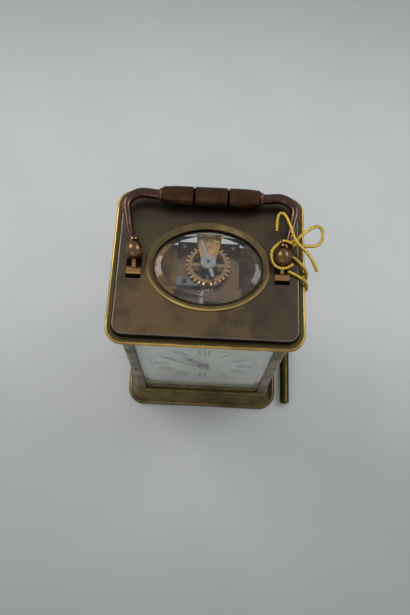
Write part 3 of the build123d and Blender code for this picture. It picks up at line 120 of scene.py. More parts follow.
class Graph:
    """Node tree of one material, with short calls for the nodes that the finishes use."""

    def __init__(self, name: str) -> None:
        """Start a material with one Principled shader.

        Args:
            name: name of the new material.
        """
        self.material = bpy.data.materials.new(name)
        self.material.use_nodes = True
        self.tree = self.material.node_tree
        self.tree.nodes.clear()
        self.shader = self.node("ShaderNodeBsdfPrincipled")
        self.output = self.node("ShaderNodeOutputMaterial")
        self.fill(self.output, Surface=self.shader.outputs[0])

    def feed(self, target: Socket, value: Value) -> None:
        """Link a socket to a target, or set the target's own value.

        Args:
            target: input that takes the value.
            value: socket to link, or a number or triple to set.
        """
        if isinstance(value, bpy.types.NodeSocket):
            self.tree.links.new(value, target)
        elif isinstance(value, tuple) and target.type == "RGBA":
            target.default_value = (*value, 1.0)
        else:
            target.default_value = value

    def fill(self, made: bpy.types.Node, **values: Value) -> bpy.types.Node:
        """Feed a node's inputs by their names.

        Args:
            made: node that takes the values.
            **values: what each input gets, with underscores for the spaces in its name.

        Returns:
            The node.
        """
        for name, value in values.items():
            self.feed(made.inputs[name.replace("_", " ")], value)
        return made

    def node(self, kind: str, **values: Value) -> bpy.types.Node:
        """Add a node of a kind and feed its inputs."""
        return self.fill(self.tree.nodes.new(kind), **values)

    def set(self, **values: Value) -> None:
        """Feed the inputs of the Principled shader."""
        self.fill(self.shader, **values)

    def coords(
        self, scale: Point = (1.0, 1.0, 1.0), shift: Point = (0.0, 0.0, 0.0), source: str = "Object"
    ) -> Socket:
        """Texture coordinates, stretched and shifted.

        Args:
            scale: factors along the three axes.
            shift: offset added after scaling, in scaled units.
            source: output of the Texture Coordinate node to read.

        Returns:
            The mapped vector.
        """
        start = self.node("ShaderNodeTexCoord")
        mapping = self.node("ShaderNodeMapping", Vector=start.outputs[source], Scale=scale, Location=shift)
        return mapping.outputs["Vector"]

    def noise(self, vector: Socket, scale: float, detail: float = 3.0, roughness: float = 0.55) -> Socket:
        """Fractal noise from 0 to 1.

        Args:
            vector: coordinates in metres, times any stretch.
            scale: cells to the metre.
            detail: octaves.
            roughness: share of the fine octaves.

        Returns:
            The noise value.
        """
        made = self.node("ShaderNodeTexNoise", Vector=vector, Scale=scale, Detail=detail, Roughness=roughness)
        return made.outputs[0]

    def ramp(self, value: Socket, low: float, high: float, start: float = 0.0, end: float = 1.0) -> Socket:
        """Smooth step of a value.

        Args:
            value: number to read.
            low: value where the step starts.
            high: value where it ends.
            start: result at low.
            end: result at high.

        Returns:
            The stepped value.
        """
        made = self.node("ShaderNodeMapRange", Value=value, From_Min=low, From_Max=high)
        self.fill(made, To_Min=start, To_Max=end)
        made.interpolation_type = "SMOOTHSTEP"
        return made.outputs["Result"]

    def step(self, value: Socket, place: float, soft: float) -> Socket:
        """Smooth step from 0 to 1 about a place, soft to each side."""
        return self.ramp(value, place - soft, place + soft)

    def maths(self, operation: str, first: Socket | float, second: Socket | float = 0.0) -> Socket:
        """Result of a Math node.

        Args:
            operation: name of the operation.
            first: number or socket.
            second: number or socket.

        Returns:
            The result.
        """
        made = self.node("ShaderNodeMath")
        made.operation = operation
        self.feed(made.inputs[0], first)
        self.feed(made.inputs[1], second)
        return made.outputs[0]

    def vector_maths(self, operation: str, first: Socket, second: Point = (0.0, 0.0, 0.0)) -> bpy.types.Node:
        """A Vector Math node with a constant second input.

        Args:
            operation: name of the operation.
            first: vector to read.
            second: the constant.

        Returns:
            The node, whose output depends on the operation.
        """
        made = self.node("ShaderNodeVectorMath")
        made.operation = operation
        self.feed(made.inputs[0], first)
        self.feed(made.inputs[1], second)
        return made

    def axis(self, vector: Socket, name: str) -> Socket:
        """One component of a vector, named X, Y or Z."""
        return self.node("ShaderNodeSeparateXYZ", Vector=vector).outputs[name]

    def mix(self, share: Socket | float, first: Socket | Rgb, second: Socket | Rgb) -> Socket:
        """Blend two colours.

        Args:
            share: 0 for the first colour, 1 for the second.
            first: colour or socket.
            second: colour or socket.

        Returns:
            The blended colour.
        """
        made = self.node("ShaderNodeMix")
        made.data_type = "RGBA"
        self.feed(made.inputs[0], share)
        self.feed(made.inputs[6], first)
        self.feed(made.inputs[7], second)
        return made.outputs[2]

    def bump(self, height: Socket, depth: float) -> None:
        """Bend the shader's normal by a height.

        Args:
            height: value from 0 to 1.
            depth: size of a full step, in millimetres.
        """
        made = self.node("ShaderNodeBump", Height=height, Strength=1.0, Distance=depth * MM)
        self.set(Normal=made.outputs[0])

    def rounded_edge(self, half_x: float, half_y: float, corner: float) -> Socket:
        """Signed distance in millimetres from an upright rounded-rectangle wall, negative inside.

        The formula is the length of max(|p| - half + corner, 0) less the corner radius.

        Args:
            half_x: half width of the rectangle.
            half_y: half depth of the rectangle.
            corner: corner radius.

        Returns:
            The distance.
        """
        flat = self.coords(scale=(1 / MM, 1 / MM, 0.0))
        folded = self.vector_maths("ABSOLUTE", flat).outputs[0]
        inner = self.vector_maths("SUBTRACT", folded, (half_x - corner, half_y - corner, 0.0)).outputs[0]
        clipped = self.vector_maths("MAXIMUM", inner).outputs[0]
        length = self.vector_maths("LENGTH", clipped).outputs["Value"]
        return self.maths("SUBTRACT", length, corner)


# Finishes


@dataclass(frozen=True)
class Metal:
    """A metal with patches of tarnish, a fine grain and uneven polish.

    Attributes:
        name: material name.
        tone: colour of the clean metal.
        tarnish: colour of the dull patches.
        rough: roughness where clean and where dull.
        patch: size of the patches.
        grain: size of the grain along X, Y and Z.
        relief: depth of the grain.
        patch_noise: octaves of the patches and share of the fine ones.
        grain_noise: the same of the grain.
        dulling: values of the patches' noise where the metal starts to be dull and is dull.
        shading: values of the grain where it starts and stops to darken, and its share of tarnish there.
    """

    name: str
    tone: Rgb
    tarnish: Rgb
    rough: Pair
    patch: float
    grain: Point
    relief: float
    patch_noise: Pair = (5.0, 0.62)
    grain_noise: Pair = (3.0, 0.6)
    dulling: Pair = (0.36, 0.68)
    shading: Ramp = (0.3, 0.75, 0.0, 0.28)

    def start(self) -> tuple[Graph, Socket, Socket]:
        """Lay the shared nodes.

        Returns:
            The graph, the share of tarnish, and the grain.
        """
        graph = Graph(self.name)
        patches = graph.noise(graph.coords(), 1 / (self.patch * MM), *self.patch_noise)
        dull = graph.ramp(patches, *self.dulling)
        stretch = tuple(1 / (size * MM) for size in self.grain)
        grain = graph.noise(graph.coords(scale=stretch), 1.0, *self.grain_noise)
        graph.set(Metallic=1.0)
        graph.bump(grain, self.relief)
        return graph, dull, grain

    def build(self) -> Material:
        """Make the material.

        Returns:
            The material.
        """
        graph, dull, grain = self.start()
        colour = graph.mix(dull, self.tone, self.tarnish)
        shaded = graph.mix(graph.ramp(grain, *self.shading), colour, self.tarnish)
        graph.set(Base_Color=shaded, Roughness=graph.ramp(dull, 0.0, 1.0, *self.rough))
        return graph.material


@dataclass(frozen=True)
class PatinaTop(Metal):
    """Brown patina of the top, golden where worn and where a highlight is painted, with rim bands of painted
    highlight, painted shade and olive.

    Attributes:
        warm: colour of the golden patch on the plate, worn brass with a painted highlight.
        olive: colour of the moulding.
        gold: colour of the outer edge, worn brass with a painted highlight.
        bands: distance from the rim where each band starts, from the plate outwards, and its colour.
        gold_start: distance from the rim where the gold starts.
        gold_dulling: roughness of the gold, as a factor on the patina's.
        gold_loss: shares of tarnish where the gold starts and stops to give way to olive, and how far.
        rim: half width, half depth and corner of the rim.
        shoulder: height where the bands give way to the moulding under the rim.
        rubbed_and_sheen: middle of the golden patch on the plate.
        rubbed_and_sheen_squash: how many times shorter the golden patch is in depth than across.
        rubbed_and_sheen_fade: distances where the golden patch starts and stops to fade, and its shares there.
        drift: how far the golden patch's outline wanders.
        drift_cells: cells of that wandering to the metre.
        waver: how far the bands waver, and half the width of their soft edges.
        waver_cells: cells of that wavering to the metre.
        soft: half the width of the soft edges of the gold and of the shoulder.
        shading: as for any metal, with this one's values.
    """

    warm: Rgb = (0.235, 0.155, 0.074)
    olive: Rgb = (0.15, 0.108, 0.042)
    gold: Rgb = (0.68, 0.43, 0.13)
    # From the plate outwards: a painted highlight on the plate's edge, painted shade in the cove, then the
    # moulding's own olive
    bands: tuple[tuple[float, Rgb], ...] = (
        (-3.85, (0.21, 0.175, 0.145)), (-3.42, (0.030, 0.022, 0.014)), (-2.55, (0.12, 0.086, 0.034)),
    )
    gold_start: float = -0.85
    gold_dulling: float = 1.2
    gold_loss: Ramp = (0.3, 1.0, 0.0, 0.5)
    rim: Point = (42.5, 37.0, 8.0)
    shoulder: float = 118.4
    rubbed_and_sheen: Point = (-17.0, -31.0, 0.0)
    rubbed_and_sheen_squash: float = 1.3
    rubbed_and_sheen_fade: Ramp = (4.0, 40.0, 0.7, 0.0)
    drift: float = 22.0
    drift_cells: float = 85.0
    waver: float = 0.15
    waver_cells: float = 260.0
    soft: float = 0.2
    shading: Ramp = (0.35, 0.8, 0.0, 0.3)

    def plate(self, graph: Graph, dull: Socket, grain: Socket) -> Socket:
        """Colour of the flat plate: patina, a golden patch of worn brass and painted highlight, and the grain.

        Args:
            graph: graph that takes the nodes.
            dull: share of tarnish.
            grain: the grain.

        Returns:
            The colour.
        """
        # The golden patch is worn brass with a painted highlight laid into its colour
        flat = graph.coords(scale=(1 / MM, self.rubbed_and_sheen_squash / MM, 0.0))
        spot = graph.vector_maths("DISTANCE", flat, self.rubbed_and_sheen)
        wander = graph.noise(graph.coords(), self.drift_cells, 5.0)
        drift = graph.ramp(wander, 0.25, 0.75, -self.drift, self.drift)
        away = graph.maths("ADD", spot.outputs["Value"], drift)
        colour = graph.mix(dull, self.tone, self.tarnish)
        colour = graph.mix(graph.ramp(away, *self.rubbed_and_sheen_fade), colour, self.warm)
        return graph.mix(graph.ramp(grain, *self.shading), colour, self.tarnish)

    def build(self) -> Material:
        """Make the material.

        Returns:
            The material.
        """
        graph, dull, grain = self.start()
        colour = self.plate(graph, dull, grain)
        ripple = graph.noise(graph.coords(), self.waver_cells)
        waver = graph.ramp(ripple, 0.2, 0.8, -self.waver, self.waver)
        edge = graph.maths("ADD", graph.rounded_edge(*self.rim), waver)
        # Lay the painted highlight, the painted shade and the olive band along the rim
        for start, tint in self.bands:
            colour = graph.mix(graph.step(edge, start, self.waver), colour, tint)
        height = graph.axis(graph.coords(scale=(1 / MM, 1 / MM, 1 / MM)), "Z")
        moulding = graph.mix(dull, self.olive, self.tarnish)
        colour = graph.mix(graph.step(height, self.shoulder, self.soft), moulding, colour)
        # Gold along the outer edge: worn brass with a painted highlight
        bead = graph.step(edge, self.gold_start, self.soft)
        worn = graph.mix(graph.ramp(dull, *self.gold_loss), self.gold, self.olive)
        graph.set(Base_Color=graph.mix(bead, colour, worn))
        polish = graph.ramp(dull, 0.0, 1.0, *self.rough)
        gold_polish = graph.ramp(bead, 0.0, 1.0, 1.0, self.gold_dulling)
        graph.set(Roughness=graph.maths("MULTIPLY", polish, gold_polish))
        return graph.material


@dataclass(frozen=True)
class OvalFrame(Metal):
    """Olive frame of the oval light, gold along its outer edge: worn brass with a painted highlight.

    Attributes:
        gold: colour of the outer edge, worn brass with a painted highlight.
        oval: half width and half depth of the frame.
        centre_y: depth of its middle.
        edge_width: width of the gold edge.
        edge_soft: how far it fades inwards and outwards.
        shading: as for any metal, with this one's values.
    """

    gold: Rgb = (0.66, 0.46, 0.15)
    oval: Pair = (27.0, 21.0)
    centre_y: float = -1.0
    edge_width: float = 0.6
    edge_soft: Pair = (0.25, 0.15)
    shading: Ramp = (0.35, 0.8, 0.0, 0.3)

    def build(self) -> Material:
        """Make the material. The distance to the edge is (length(p / oval) - 1) times the mean half size.

        Returns:
            The material.
        """
        graph, dull, grain = self.start()
        half_x, half_y = self.oval
        shift = (0.0, -self.centre_y / half_y, 0.0)
        scaled = graph.coords(scale=(1 / (half_x * MM), 1 / (half_y * MM), 0.0), shift=shift)
        length = graph.vector_maths("LENGTH", scaled).outputs["Value"]
        edge = graph.maths("MULTIPLY", graph.maths("SUBTRACT", length, 1.0), (half_x + half_y) / 2)
        inwards, outwards = self.edge_soft
        # Gold of worn brass and painted highlight along the outer edge
        rubbed_and_sheen = graph.ramp(edge, -self.edge_width - inwards, -self.edge_width + outwards)
        colour = graph.mix(dull, self.tone, self.tarnish)
        colour = graph.mix(graph.ramp(grain, *self.shading), colour, self.tarnish)
        colour = graph.mix(rubbed_and_sheen, colour, self.gold)
        graph.set(Base_Color=colour, Roughness=graph.ramp(dull, 0.0, 1.0, *self.rough))
        return graph.material


@dataclass(frozen=True)
class BronzeHandle(Metal):
    """Dark bronze of the handle, with brass at the hinge and partly on the knop: worn brass with a painted
    highlight.

    Attributes:
        brass: colour at the hinge.
        hinge_y: depth where the knop begins.
        knop_y: depth where the bronze arm begins.
        knop_share: share of brass on the knop, worn brass with a painted highlight.
        knop_soft: how far the knop's brass fades to each side.
        hinge_soft: how far the hinge's brass fades forwards and backwards.
        shading: as for any metal, but towards brass and with this one's values.
    """

    brass: Rgb = (0.42, 0.24, 0.085)
    hinge_y: float = -1.0
    knop_y: float = 8.0
    knop_share: float = 0.3
    knop_soft: float = 1.0
    hinge_soft: Pair = (1.5, 1.0)
    shading: Ramp = (0.45, 0.8, 0.0, 0.35)

    def build(self) -> Material:
        """Make the material.

        Returns:
            The material.
        """
        graph, dull, grain = self.start()
        bronze = graph.mix(dull, self.tone, self.tarnish)
        bronze = graph.mix(graph.ramp(grain, *self.shading), bronze, self.brass)
        depth = graph.axis(graph.coords(scale=(1 / MM, 1 / MM, 1 / MM)), "Y")
        # Brass at the hinge and on the knop is worn brass with a painted highlight
        low, high = self.knop_y - self.knop_soft, self.knop_y + self.knop_soft
        knop = graph.ramp(depth, low, high, self.knop_share, 0.0)
        low, high = self.hinge_y - self.hinge_soft[0], self.hinge_y + self.hinge_soft[1]
        hinge = graph.ramp(depth, low, high, 1.0, 0.0)
        rubbed_and_sheen = graph.maths("MAXIMUM", knop, hinge)
        colour = graph.mix(rubbed_and_sheen, bronze, self.brass)
        graph.set(Base_Color=colour, Roughness=graph.ramp(dull, 0.0, 1.0, *self.rough))
        return graph.material


@dataclass(frozen=True)
class Glass:
    """Clear old glass that lets lamp light through to what is behind it.

    Attributes:
        name: material name.
        tint: colour of the glass.
        index: index of refraction.
    """

    name: str
    tint: Rgb = (0.955, 0.98, 0.97)
    index: float = 1.5

    def build(self) -> Material:
        """Make the material.

        Returns:
            The material.
        """
        graph = Graph(self.name)
        graph.set(Base_Color=self.tint, Transmission_Weight=1.0, Roughness=0.0, IOR=self.index)
        clear = graph.node("ShaderNodeBsdfTransparent", Color=self.tint)
        path = graph.node("ShaderNodeLightPath")
        blend = graph.node("ShaderNodeMixShader")
        sources = (path.outputs["Is Shadow Ray"], graph.shader.outputs[0], clear.outputs[0])
        for target, source in zip(blend.inputs, sources):
            graph.feed(target, source)
        graph.fill(graph.output, Surface=blend.outputs[0])
        return graph.material


@dataclass(frozen=True)
class Enamel:
    """Fired white enamel with faint clouds and a glassy surface.

    Attributes:
        name: material name.
        white: colour of the enamel.
        cloud: colour of the clouds.
        speck: colour of the specks.
        cells: cells to the metre of the clouds, the specks and the ripples.
        cloud_step: values of the noise where a cloud starts and is full.
        speck_step: the same for a speck, with its shares there.
        ripple: depth of the ripples.
        gloss: roughness, weight of the glassy coat and the coat's roughness.
    """

    name: str
    white: Rgb = (0.90, 0.89, 0.78)
    cloud: Rgb = (0.82, 0.81, 0.70)
    speck: Rgb = (0.42, 0.40, 0.34)
    cells: Point = (60.0, 900.0, 240.0)
    cloud_step: Pair = (0.4, 0.7)
    speck_step: Ramp = (0.74, 0.80, 0.0, 0.6)
    ripple: float = 0.02
    gloss: Point = (0.28, 0.4, 0.08)

    def build(self) -> Material:
        """Make the material.

        Returns:
            The material.
        """
        graph = Graph(self.name)
        clouds, specks, ripples = self.cells
        cloud = graph.ramp(graph.noise(graph.coords(), clouds, 4.0), *self.cloud_step)
        speck = graph.ramp(graph.noise(graph.coords(), specks, 1.0), *self.speck_step)
        colour = graph.mix(cloud, self.white, self.cloud)
        colour = graph.mix(speck, colour, self.speck)
        roughness, coat, coat_roughness = self.gloss
        graph.set(Base_Color=colour, Roughness=roughness, Coat_Weight=coat, Coat_Roughness=coat_roughness)
        graph.bump(graph.noise(graph.coords(), ripples, 2.0), self.ripple)
        return graph.material


@dataclass(frozen=True)
class Paint:
    """A dark coating with thin spots: printed ink, or the jewel's ruby.

    Attributes:
        name: material name.
        tone: main colour.
        worn: colour where it is thin.
        roughness: how dull it is.
        scale: size of the thin spots.
        thinning: values of the noise where the coating starts to be thin and is thin.
    """

    name: str
    tone: Rgb
    worn: Rgb
    roughness: float
    scale: float
    thinning: Pair = (0.5, 0.75)

    def build(self) -> Material:
        """Make the material.

        Returns:
            The material.
        """
        graph = Graph(self.name)
        thin = graph.ramp(graph.noise(graph.coords(), 1 / (self.scale * MM)), *self.thinning)
        graph.set(Base_Color=graph.mix(thin, self.tone, self.worn), Roughness=self.roughness)
        return graph.material


@dataclass(frozen=True)
class LameCord:
    """Gold thread twisted into a cord: bright foil with painted shade between the threads, lifted by painted
    glints.

    Attributes:
        name: material name.
        foil: colour of the foil.
        shade: colour of the painted shade between the threads.
        threads: rises and falls of the threads in one turn.
        relief: height of a thread.
        glint_cells: cells of the foil's glints to the metre.
        between: heights of a thread where the shade starts and stops to lift, and its shares there.
        glint_lift: values of the glints where they start and stop to lift the shade, and what is left of it.
        polish: values of the glints where the roughness starts and stops to change, and its values there.
    """

    name: str
    foil: Rgb = (0.86, 0.60, 0.095)
    shade: Rgb = (0.085, 0.055, 0.006)
    threads: float = 18.0
    relief: float = 0.05
    glint_cells: float = 2600.0
    between: Ramp = (0.05, 0.70, 1.0, 0.0)
    glint_lift: Ramp = (0.35, 0.65, 0.9, 0.35)
    polish: Ramp = (0.35, 0.7, 0.14, 0.42)

    def build(self) -> Material:
        """Make the material. The UV map runs round the cord in U and along it in V, in twists.

        Returns:
            The material.
        """
        graph = Graph(self.name)
        round_cord = graph.coords(source="UV")
        lean = graph.maths("ADD", graph.axis(round_cord, "X"), graph.axis(round_cord, "Y"))
        thread = graph.maths("PINGPONG", graph.maths("MULTIPLY", lean, self.threads), 1.0)
        glint = graph.noise(graph.coords(), self.glint_cells, 2.0)
        # Painted shade darkens the grooves between the threads, and painted glints lift it
        between = graph.ramp(thread, *self.between)
        dark = graph.maths("MULTIPLY", between, graph.ramp(glint, *self.glint_lift))
        colour = graph.mix(dark, self.foil, self.shade)
        graph.set(Base_Color=colour, Roughness=graph.ramp(glint, *self.polish), Metallic=1.0)
        graph.bump(thread, self.relief)
        return graph.material


@dataclass(frozen=True)
class TableTop:
    """Pale grey table, faintly uneven, with a painted pool of light round the clock that dims away from it.

    Attributes:
        name: material name.
        pale: colour in the pool.
        soft: colour of its clouds.
        dim: colour far from the pool.
        pool: middle of the pool, across and back.
        reach: distances where it starts and stops to dim.
        stretch: how far a step across counts beside a step back.
        cells: cells to the metre of the clouds and of the unevenness.
        cloud_step: values of the noise where a cloud starts and is full.
        roughness: how dull the table is.
        relief: depth of the unevenness.
    """

    name: str = "table_top"
    pale: Rgb = (0.625, 0.640, 0.628)
    soft: Rgb = (0.595, 0.611, 0.600)
    dim: Rgb = (0.345, 0.357, 0.352)
    pool: Point = (0.0, 75.0, 0.0)
    reach: Pair = (60.0, 300.0)
    stretch: float = 0.5
    cells: Pair = (14.0, 30.0)
    cloud_step: Pair = (0.35, 0.7)
    roughness: float = 0.75
    relief: float = 0.25

    def build(self) -> Material:
        """Make the material.

        Returns:
            The material.
        """
        graph = Graph(self.name)
        clouds, unevenness = self.cells
        cloud = graph.ramp(graph.noise(graph.coords(), clouds, 5.0, 0.6), *self.cloud_step)
        flat = graph.coords(scale=(self.stretch / MM, 1 / MM, 0.0))
        # Painted pool of light: the colour dims with distance from the pool
        away = graph.vector_maths("DISTANCE", flat, self.pool).outputs["Value"]
        lit = graph.mix(cloud, self.pale, self.soft)
        colour = graph.mix(graph.ramp(away, *self.reach), lit, self.dim)
        graph.set(Base_Color=colour, Roughness=self.roughness)
        graph.bump(graph.noise(graph.coords(), unevenness), self.relief)
        return graph.material


FINISHES = (
    PatinaTop("top_patina", (0.134, 0.099, 0.064), (0.082, 0.064, 0.048),
              rough=(0.31, 0.45), patch=22.0, grain=(12.0, 0.35, 3.0), relief=0.006),
    OvalFrame("bezel_brass", (0.24, 0.177, 0.080), (0.14, 0.107, 0.056),
              rough=(0.24, 0.42), patch=7.0, grain=(0.6, 0.6, 0.6), relief=0.008),
    Metal("base_patina", (0.24, 0.170, 0.064), (0.105, 0.078, 0.040),
          rough=(0.28, 0.50), patch=14.0, grain=(6.0, 6.0, 0.4), relief=0.008),
    Metal("pillar_brass", (0.28, 0.215, 0.125), (0.165, 0.128, 0.078),
          rough=(0.26, 0.46), patch=12.0, grain=(0.5, 0.5, 9.0), relief=0.006),
    Metal("knob_brass", (0.46, 0.31, 0.105), (0.24, 0.165, 0.070),
          rough=(0.22, 0.42), patch=7.0, grain=(0.6, 0.6, 0.6), relief=0.008),
    Metal("collar_brass", (0.30, 0.195, 0.085), (0.16, 0.100, 0.050),
          rough=(0.24, 0.42), patch=3.0, grain=(0.5, 0.5, 0.5), relief=0.008),
    BronzeHandle("handle_bronze", (0.105, 0.062, 0.048), (0.070, 0.042, 0.036),
                 rough=(0.17, 0.32), patch=5.0, grain=(0.7, 0.7, 0.7), relief=0.01),
    Metal("grip_bronze", (0.104, 0.052, 0.027), (0.063, 0.033, 0.021),
          rough=(0.24, 0.40), patch=6.0, grain=(7.0, 0.4, 0.4), relief=0.012),
    Metal("key_brass", (0.068, 0.052, 0.017), (0.040, 0.030, 0.010),
          rough=(0.28, 0.48), patch=7.0, grain=(0.6, 5.0, 0.6), relief=0.012),
    Metal("plate_brass", (0.60, 0.44, 0.18), (0.40, 0.28, 0.12),
          rough=(0.22, 0.40), patch=10.0, grain=(0.4, 0.4, 5.0), relief=0.005),
    Metal("wheel_brass", (0.70, 0.51, 0.20), (0.45, 0.31, 0.12),
          rough=(0.18, 0.36), patch=6.0, grain=(0.8, 0.8, 0.8), relief=0.004),
    Metal("cock_gilt", (0.80, 0.46, 0.18), (0.34, 0.19, 0.09),
          rough=(0.3, 0.46), patch=1.9, grain=(0.6, 0.6, 0.6), relief=0.06),
    Metal("balance_gilt", (0.56, 0.35, 0.18), (0.36, 0.21, 0.11),
          rough=(0.18, 0.32), patch=2.5, grain=(0.5, 0.5, 0.5), relief=0.004),
    Metal("screw_gold", (0.90, 0.60, 0.28), (0.62, 0.36, 0.15),
          rough=(0.14, 0.3), patch=1.0, grain=(0.5, 0.5, 0.5), relief=0.004),
    Metal("platform_silver", (0.28, 0.185, 0.112), (0.205, 0.108, 0.072),
          rough=(0.13, 0.24), patch=8.0, grain=(0.3, 4.0, 0.3), relief=0.003),
    Metal("cock_silver", (0.27, 0.275, 0.25), (0.19, 0.195, 0.175),
          rough=(0.16, 0.30), patch=6.0, grain=(0.6, 3.0, 0.6), relief=0.002),
    Metal("polished_steel", (0.58, 0.575, 0.58), (0.42, 0.415, 0.41),
          rough=(0.14, 0.28), patch=7.0, grain=(2.0, 2.0, 2.0), relief=0.002),
    Metal("dull_steel", (0.36, 0.36, 0.37), (0.22, 0.21, 0.21),
          rough=(0.28, 0.50), patch=4.0, grain=(0.5, 0.5, 3.0), relief=0.006),
    Metal("blued_steel", (0.045, 0.05, 0.085), (0.03, 0.03, 0.045),
          rough=(0.2, 0.34), patch=3.0, grain=(0.5, 0.5, 0.5), relief=0.003),
    Glass("pane_glass"),
    Glass("top_light_glass", (0.97, 0.985, 0.98)),
    Enamel("dial_enamel"),
    Paint("dial_ink", (0.035, 0.035, 0.04), (0.09, 0.09, 0.095), 0.4, 0.8),
    Paint("track_ink", (0.30, 0.30, 0.29), (0.45, 0.45, 0.43), 0.4, 0.8),
    Paint("jewel_ruby", (0.035, 0.004, 0.010), (0.07, 0.008, 0.016), 0.08, 0.5),
    LameCord("gold_lame"),
)

NODE_FINISH = {
    "top_patina": ("cornice_top",),
    "bezel_brass": ("oval_bezel",),
    "base_patina": ("base_plinth",),
    "pillar_brass": ("front_pillars", "rear_pillars", "door_frame"),
    "knob_brass": ("door_knob", "hinge_pins"),
    "collar_brass": ("grip_collars",),
    "handle_bronze": ("handle_arm_left", "handle_arm_right"),
    "grip_bronze": ("handle_grip",),
    "key_brass": ("winding_key",),
    "plate_brass": ("front_plate", "back_plate", "movement_pillars", "escape_potence"),
    "wheel_brass": ("barrel", "barrel_cap", "intermediate_wheel", "centre_wheel", "third_wheel",
                    "contrate_wheel", "minute_wheel", "hour_wheel"),
    "cock_gilt": ("balance_cock",),
    "balance_gilt": ("balance_wheel",),
    "screw_gold": ("timing_screws",),
    "platform_silver": ("platform", "escape_cock"),
    "cock_silver": ("lever_cock",),
    "polished_steel": ("endstone_cap", "regulator_index", "escape_wheel", "balance_staff", "ratchet_wheel"),
    "dull_steel": ("base_screws", "platform_screws", "winding_arbor", "click", "click_spring",
                   "intermediate_arbor", "third_arbor", "contrate_arbor", "minute_arbor", "escape_arbor",
                   "lever", "mainspring"),
    "blued_steel": ("hour_hand", "minute_hand", "hairspring"),
    "pane_glass": ("front_glass", "side_glasses", "door_glass"),
    "top_light_glass": ("top_glass",),
    "dial_enamel": ("dial",),
    "gold_lame": ("bow_knot", "bow_loop", "bow_tail", "bow_strands"),
}


# Surfaces


def grid_faces(rows: int, columns: int, close_rows: bool, close_columns: bool) -> Array:
    """Quads of a grid whose points are numbered row by row.

    Args:
        rows: points along the first parameter.
        columns: points along the second parameter.
        close_rows: True where the last row joins the first.
        close_columns: True where the last column joins the first.

    Returns:
        An array of four point numbers to a quad.
    """
    i = np.arange(rows if close_rows else rows - 1)[:, None]
    j = np.arange(columns if close_columns else columns - 1)[None, :]
    nearer, further = (j % columns), ((j + 1) % columns)
    low, high = (i % rows) * columns, ((i + 1) % rows) * columns
    return np.stack([low + nearer, low + further, high + further, high + nearer], axis=-1).reshape(-1, 4)


@dataclass
class Surface:
    """Shape gathered for one mesh, in millimetres.

    Attributes:
        points: blocks of points.
        faces: point numbers of each face.
        uvs: blocks of corner UVs, for cords only.
    """

    points: list[Array] = field(default_factory=list)
    faces: list[list[int]] = field(default_factory=list)
    uvs: list[Array] = field(default_factory=list)

    @property
    def count(self) -> int:
        """Number of points so far."""
        return sum(len(block) for block in self.points)

    def add_grid(
        self, grid: Array, close_rows: bool = False, close_columns: bool = False, caps: bool = False
    ) -> None:
        """Add a grid of points as a surface.

        Args:
            grid: array of shape (rows, columns, 3).
            close_rows: True where the last row joins the first.
            close_columns: True where the last column joins the first.
            caps: True to close the first and last row with a polygon each.
        """
        rows, columns = grid.shape[:2]
        start = self.count
        self.points.append(grid.reshape(-1, 3))
        self.faces += (grid_faces(rows, columns, close_rows, close_columns) + start).tolist()
        if caps:
            self.faces.append((start + np.arange(columns)[::-1]).tolist())
            self.faces.append((start + (rows - 1) * columns + np.arange(columns)).tolist())

    def add_rope(self, path: Array, radius: float, closed: bool = False) -> None:
        """Add a twisted cord, with U round it and V along it in twists.

        Args:
            path: points of the middle line.
            radius: outer radius.
            closed: True for a ring.
        """
        rows = len(path)
        self.add_grid(rope_grid(path, radius, closed), closed, True, not closed)
        steps = np.linalg.norm(np.diff(path, axis=0, append=path[:1]), axis=1)
        along = np.concatenate([[0.0], np.cumsum(steps)]) / ROPE_TWIST
        i, j = np.meshgrid(np.arange(rows if closed else rows - 1), np.arange(ROPE_COLUMNS), indexing="ij")
        u = np.stack([j, j + 1, j + 1, j], axis=-1) / ROPE_COLUMNS
        v = along[np.stack([i, i, i + 1, i + 1], axis=-1)]
        self.uvs.append(np.stack([u, v], axis=-1).reshape(-1, 2))
        if not closed:
            self.uvs.append(np.zeros((2 * ROPE_COLUMNS, 2)))

    def add_prisms(self, outlines: Array, thickness: Array) -> None:
        """Add prisms on four-sided outlines.

        Args:
            outlines: array of shape (n, 4, 3), the near face of each prism.
            thickness: vector from the near face to the far one.
        """
        start = self.count
        number = len(outlines)
        corners = np.concatenate([outlines, outlines + thickness], axis=1)
        self.points.append(corners.reshape(-1, 3))
        walls = [[0, 4, 5, 1], [1, 5, 6, 2], [2, 6, 7, 3], [3, 7, 4, 0]]
        sides = np.array([[0, 1, 2, 3], [7, 6, 5, 4], *walls])
        self.faces += (sides[None] + 8 * np.arange(number)[:, None, None] + start).reshape(-1, 4).tolist()

    def make(
        self, name: str, finish: Material, part: Part, slot: str, smooth: bool = True
    ) -> bpy.types.Object:
        """Write the mesh, with its faces turned outwards, and hang it on a body.

        Args:
            name: name of the piece.
            finish: its material.
            part: body that it rides on.
            slot: material slot of the record; not used.
            smooth: True for smooth shading with sharp edges kept.

        Returns:
            The new object.
        """
        mesh = bpy.data.meshes.new(name)
        mesh.from_pydata((np.concatenate(self.points) * MM).tolist(), [], self.faces)
        if self.uvs:
            layer = mesh.uv_layers.new(name="cord")
            layer.data.foreach_set("uv", np.concatenate(self.uvs).astype(np.float32).ravel())
        mesh.validate()
        piece = bpy.data.objects.new(name, mesh)
        bpy.context.scene.collection.objects.link(piece)
        turn_outwards(mesh)
        if smooth:
            mesh.polygons.foreach_set("use_smooth", np.ones(len(mesh.polygons), bool))
            mesh.set_sharp_from_angle(angle=np.radians(SHARP_ANGLE))
        mesh.materials.append(finish)
        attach(piece, part.value)
        LOG.info("%s: %d faces on %s", name, len(mesh.polygons), part.value)
        return piece


def turn_outwards(mesh: bpy.types.Mesh) -> None:
    """Recalculate the normals of closed shells so that they point outwards.

    Args:
        mesh: mesh to turn.
    """
    work = bmesh.new()
    work.from_mesh(mesh)
    bmesh.ops.recalc_face_normals(work, faces=work.faces)
    work.to_mesh(mesh)
    work.free()


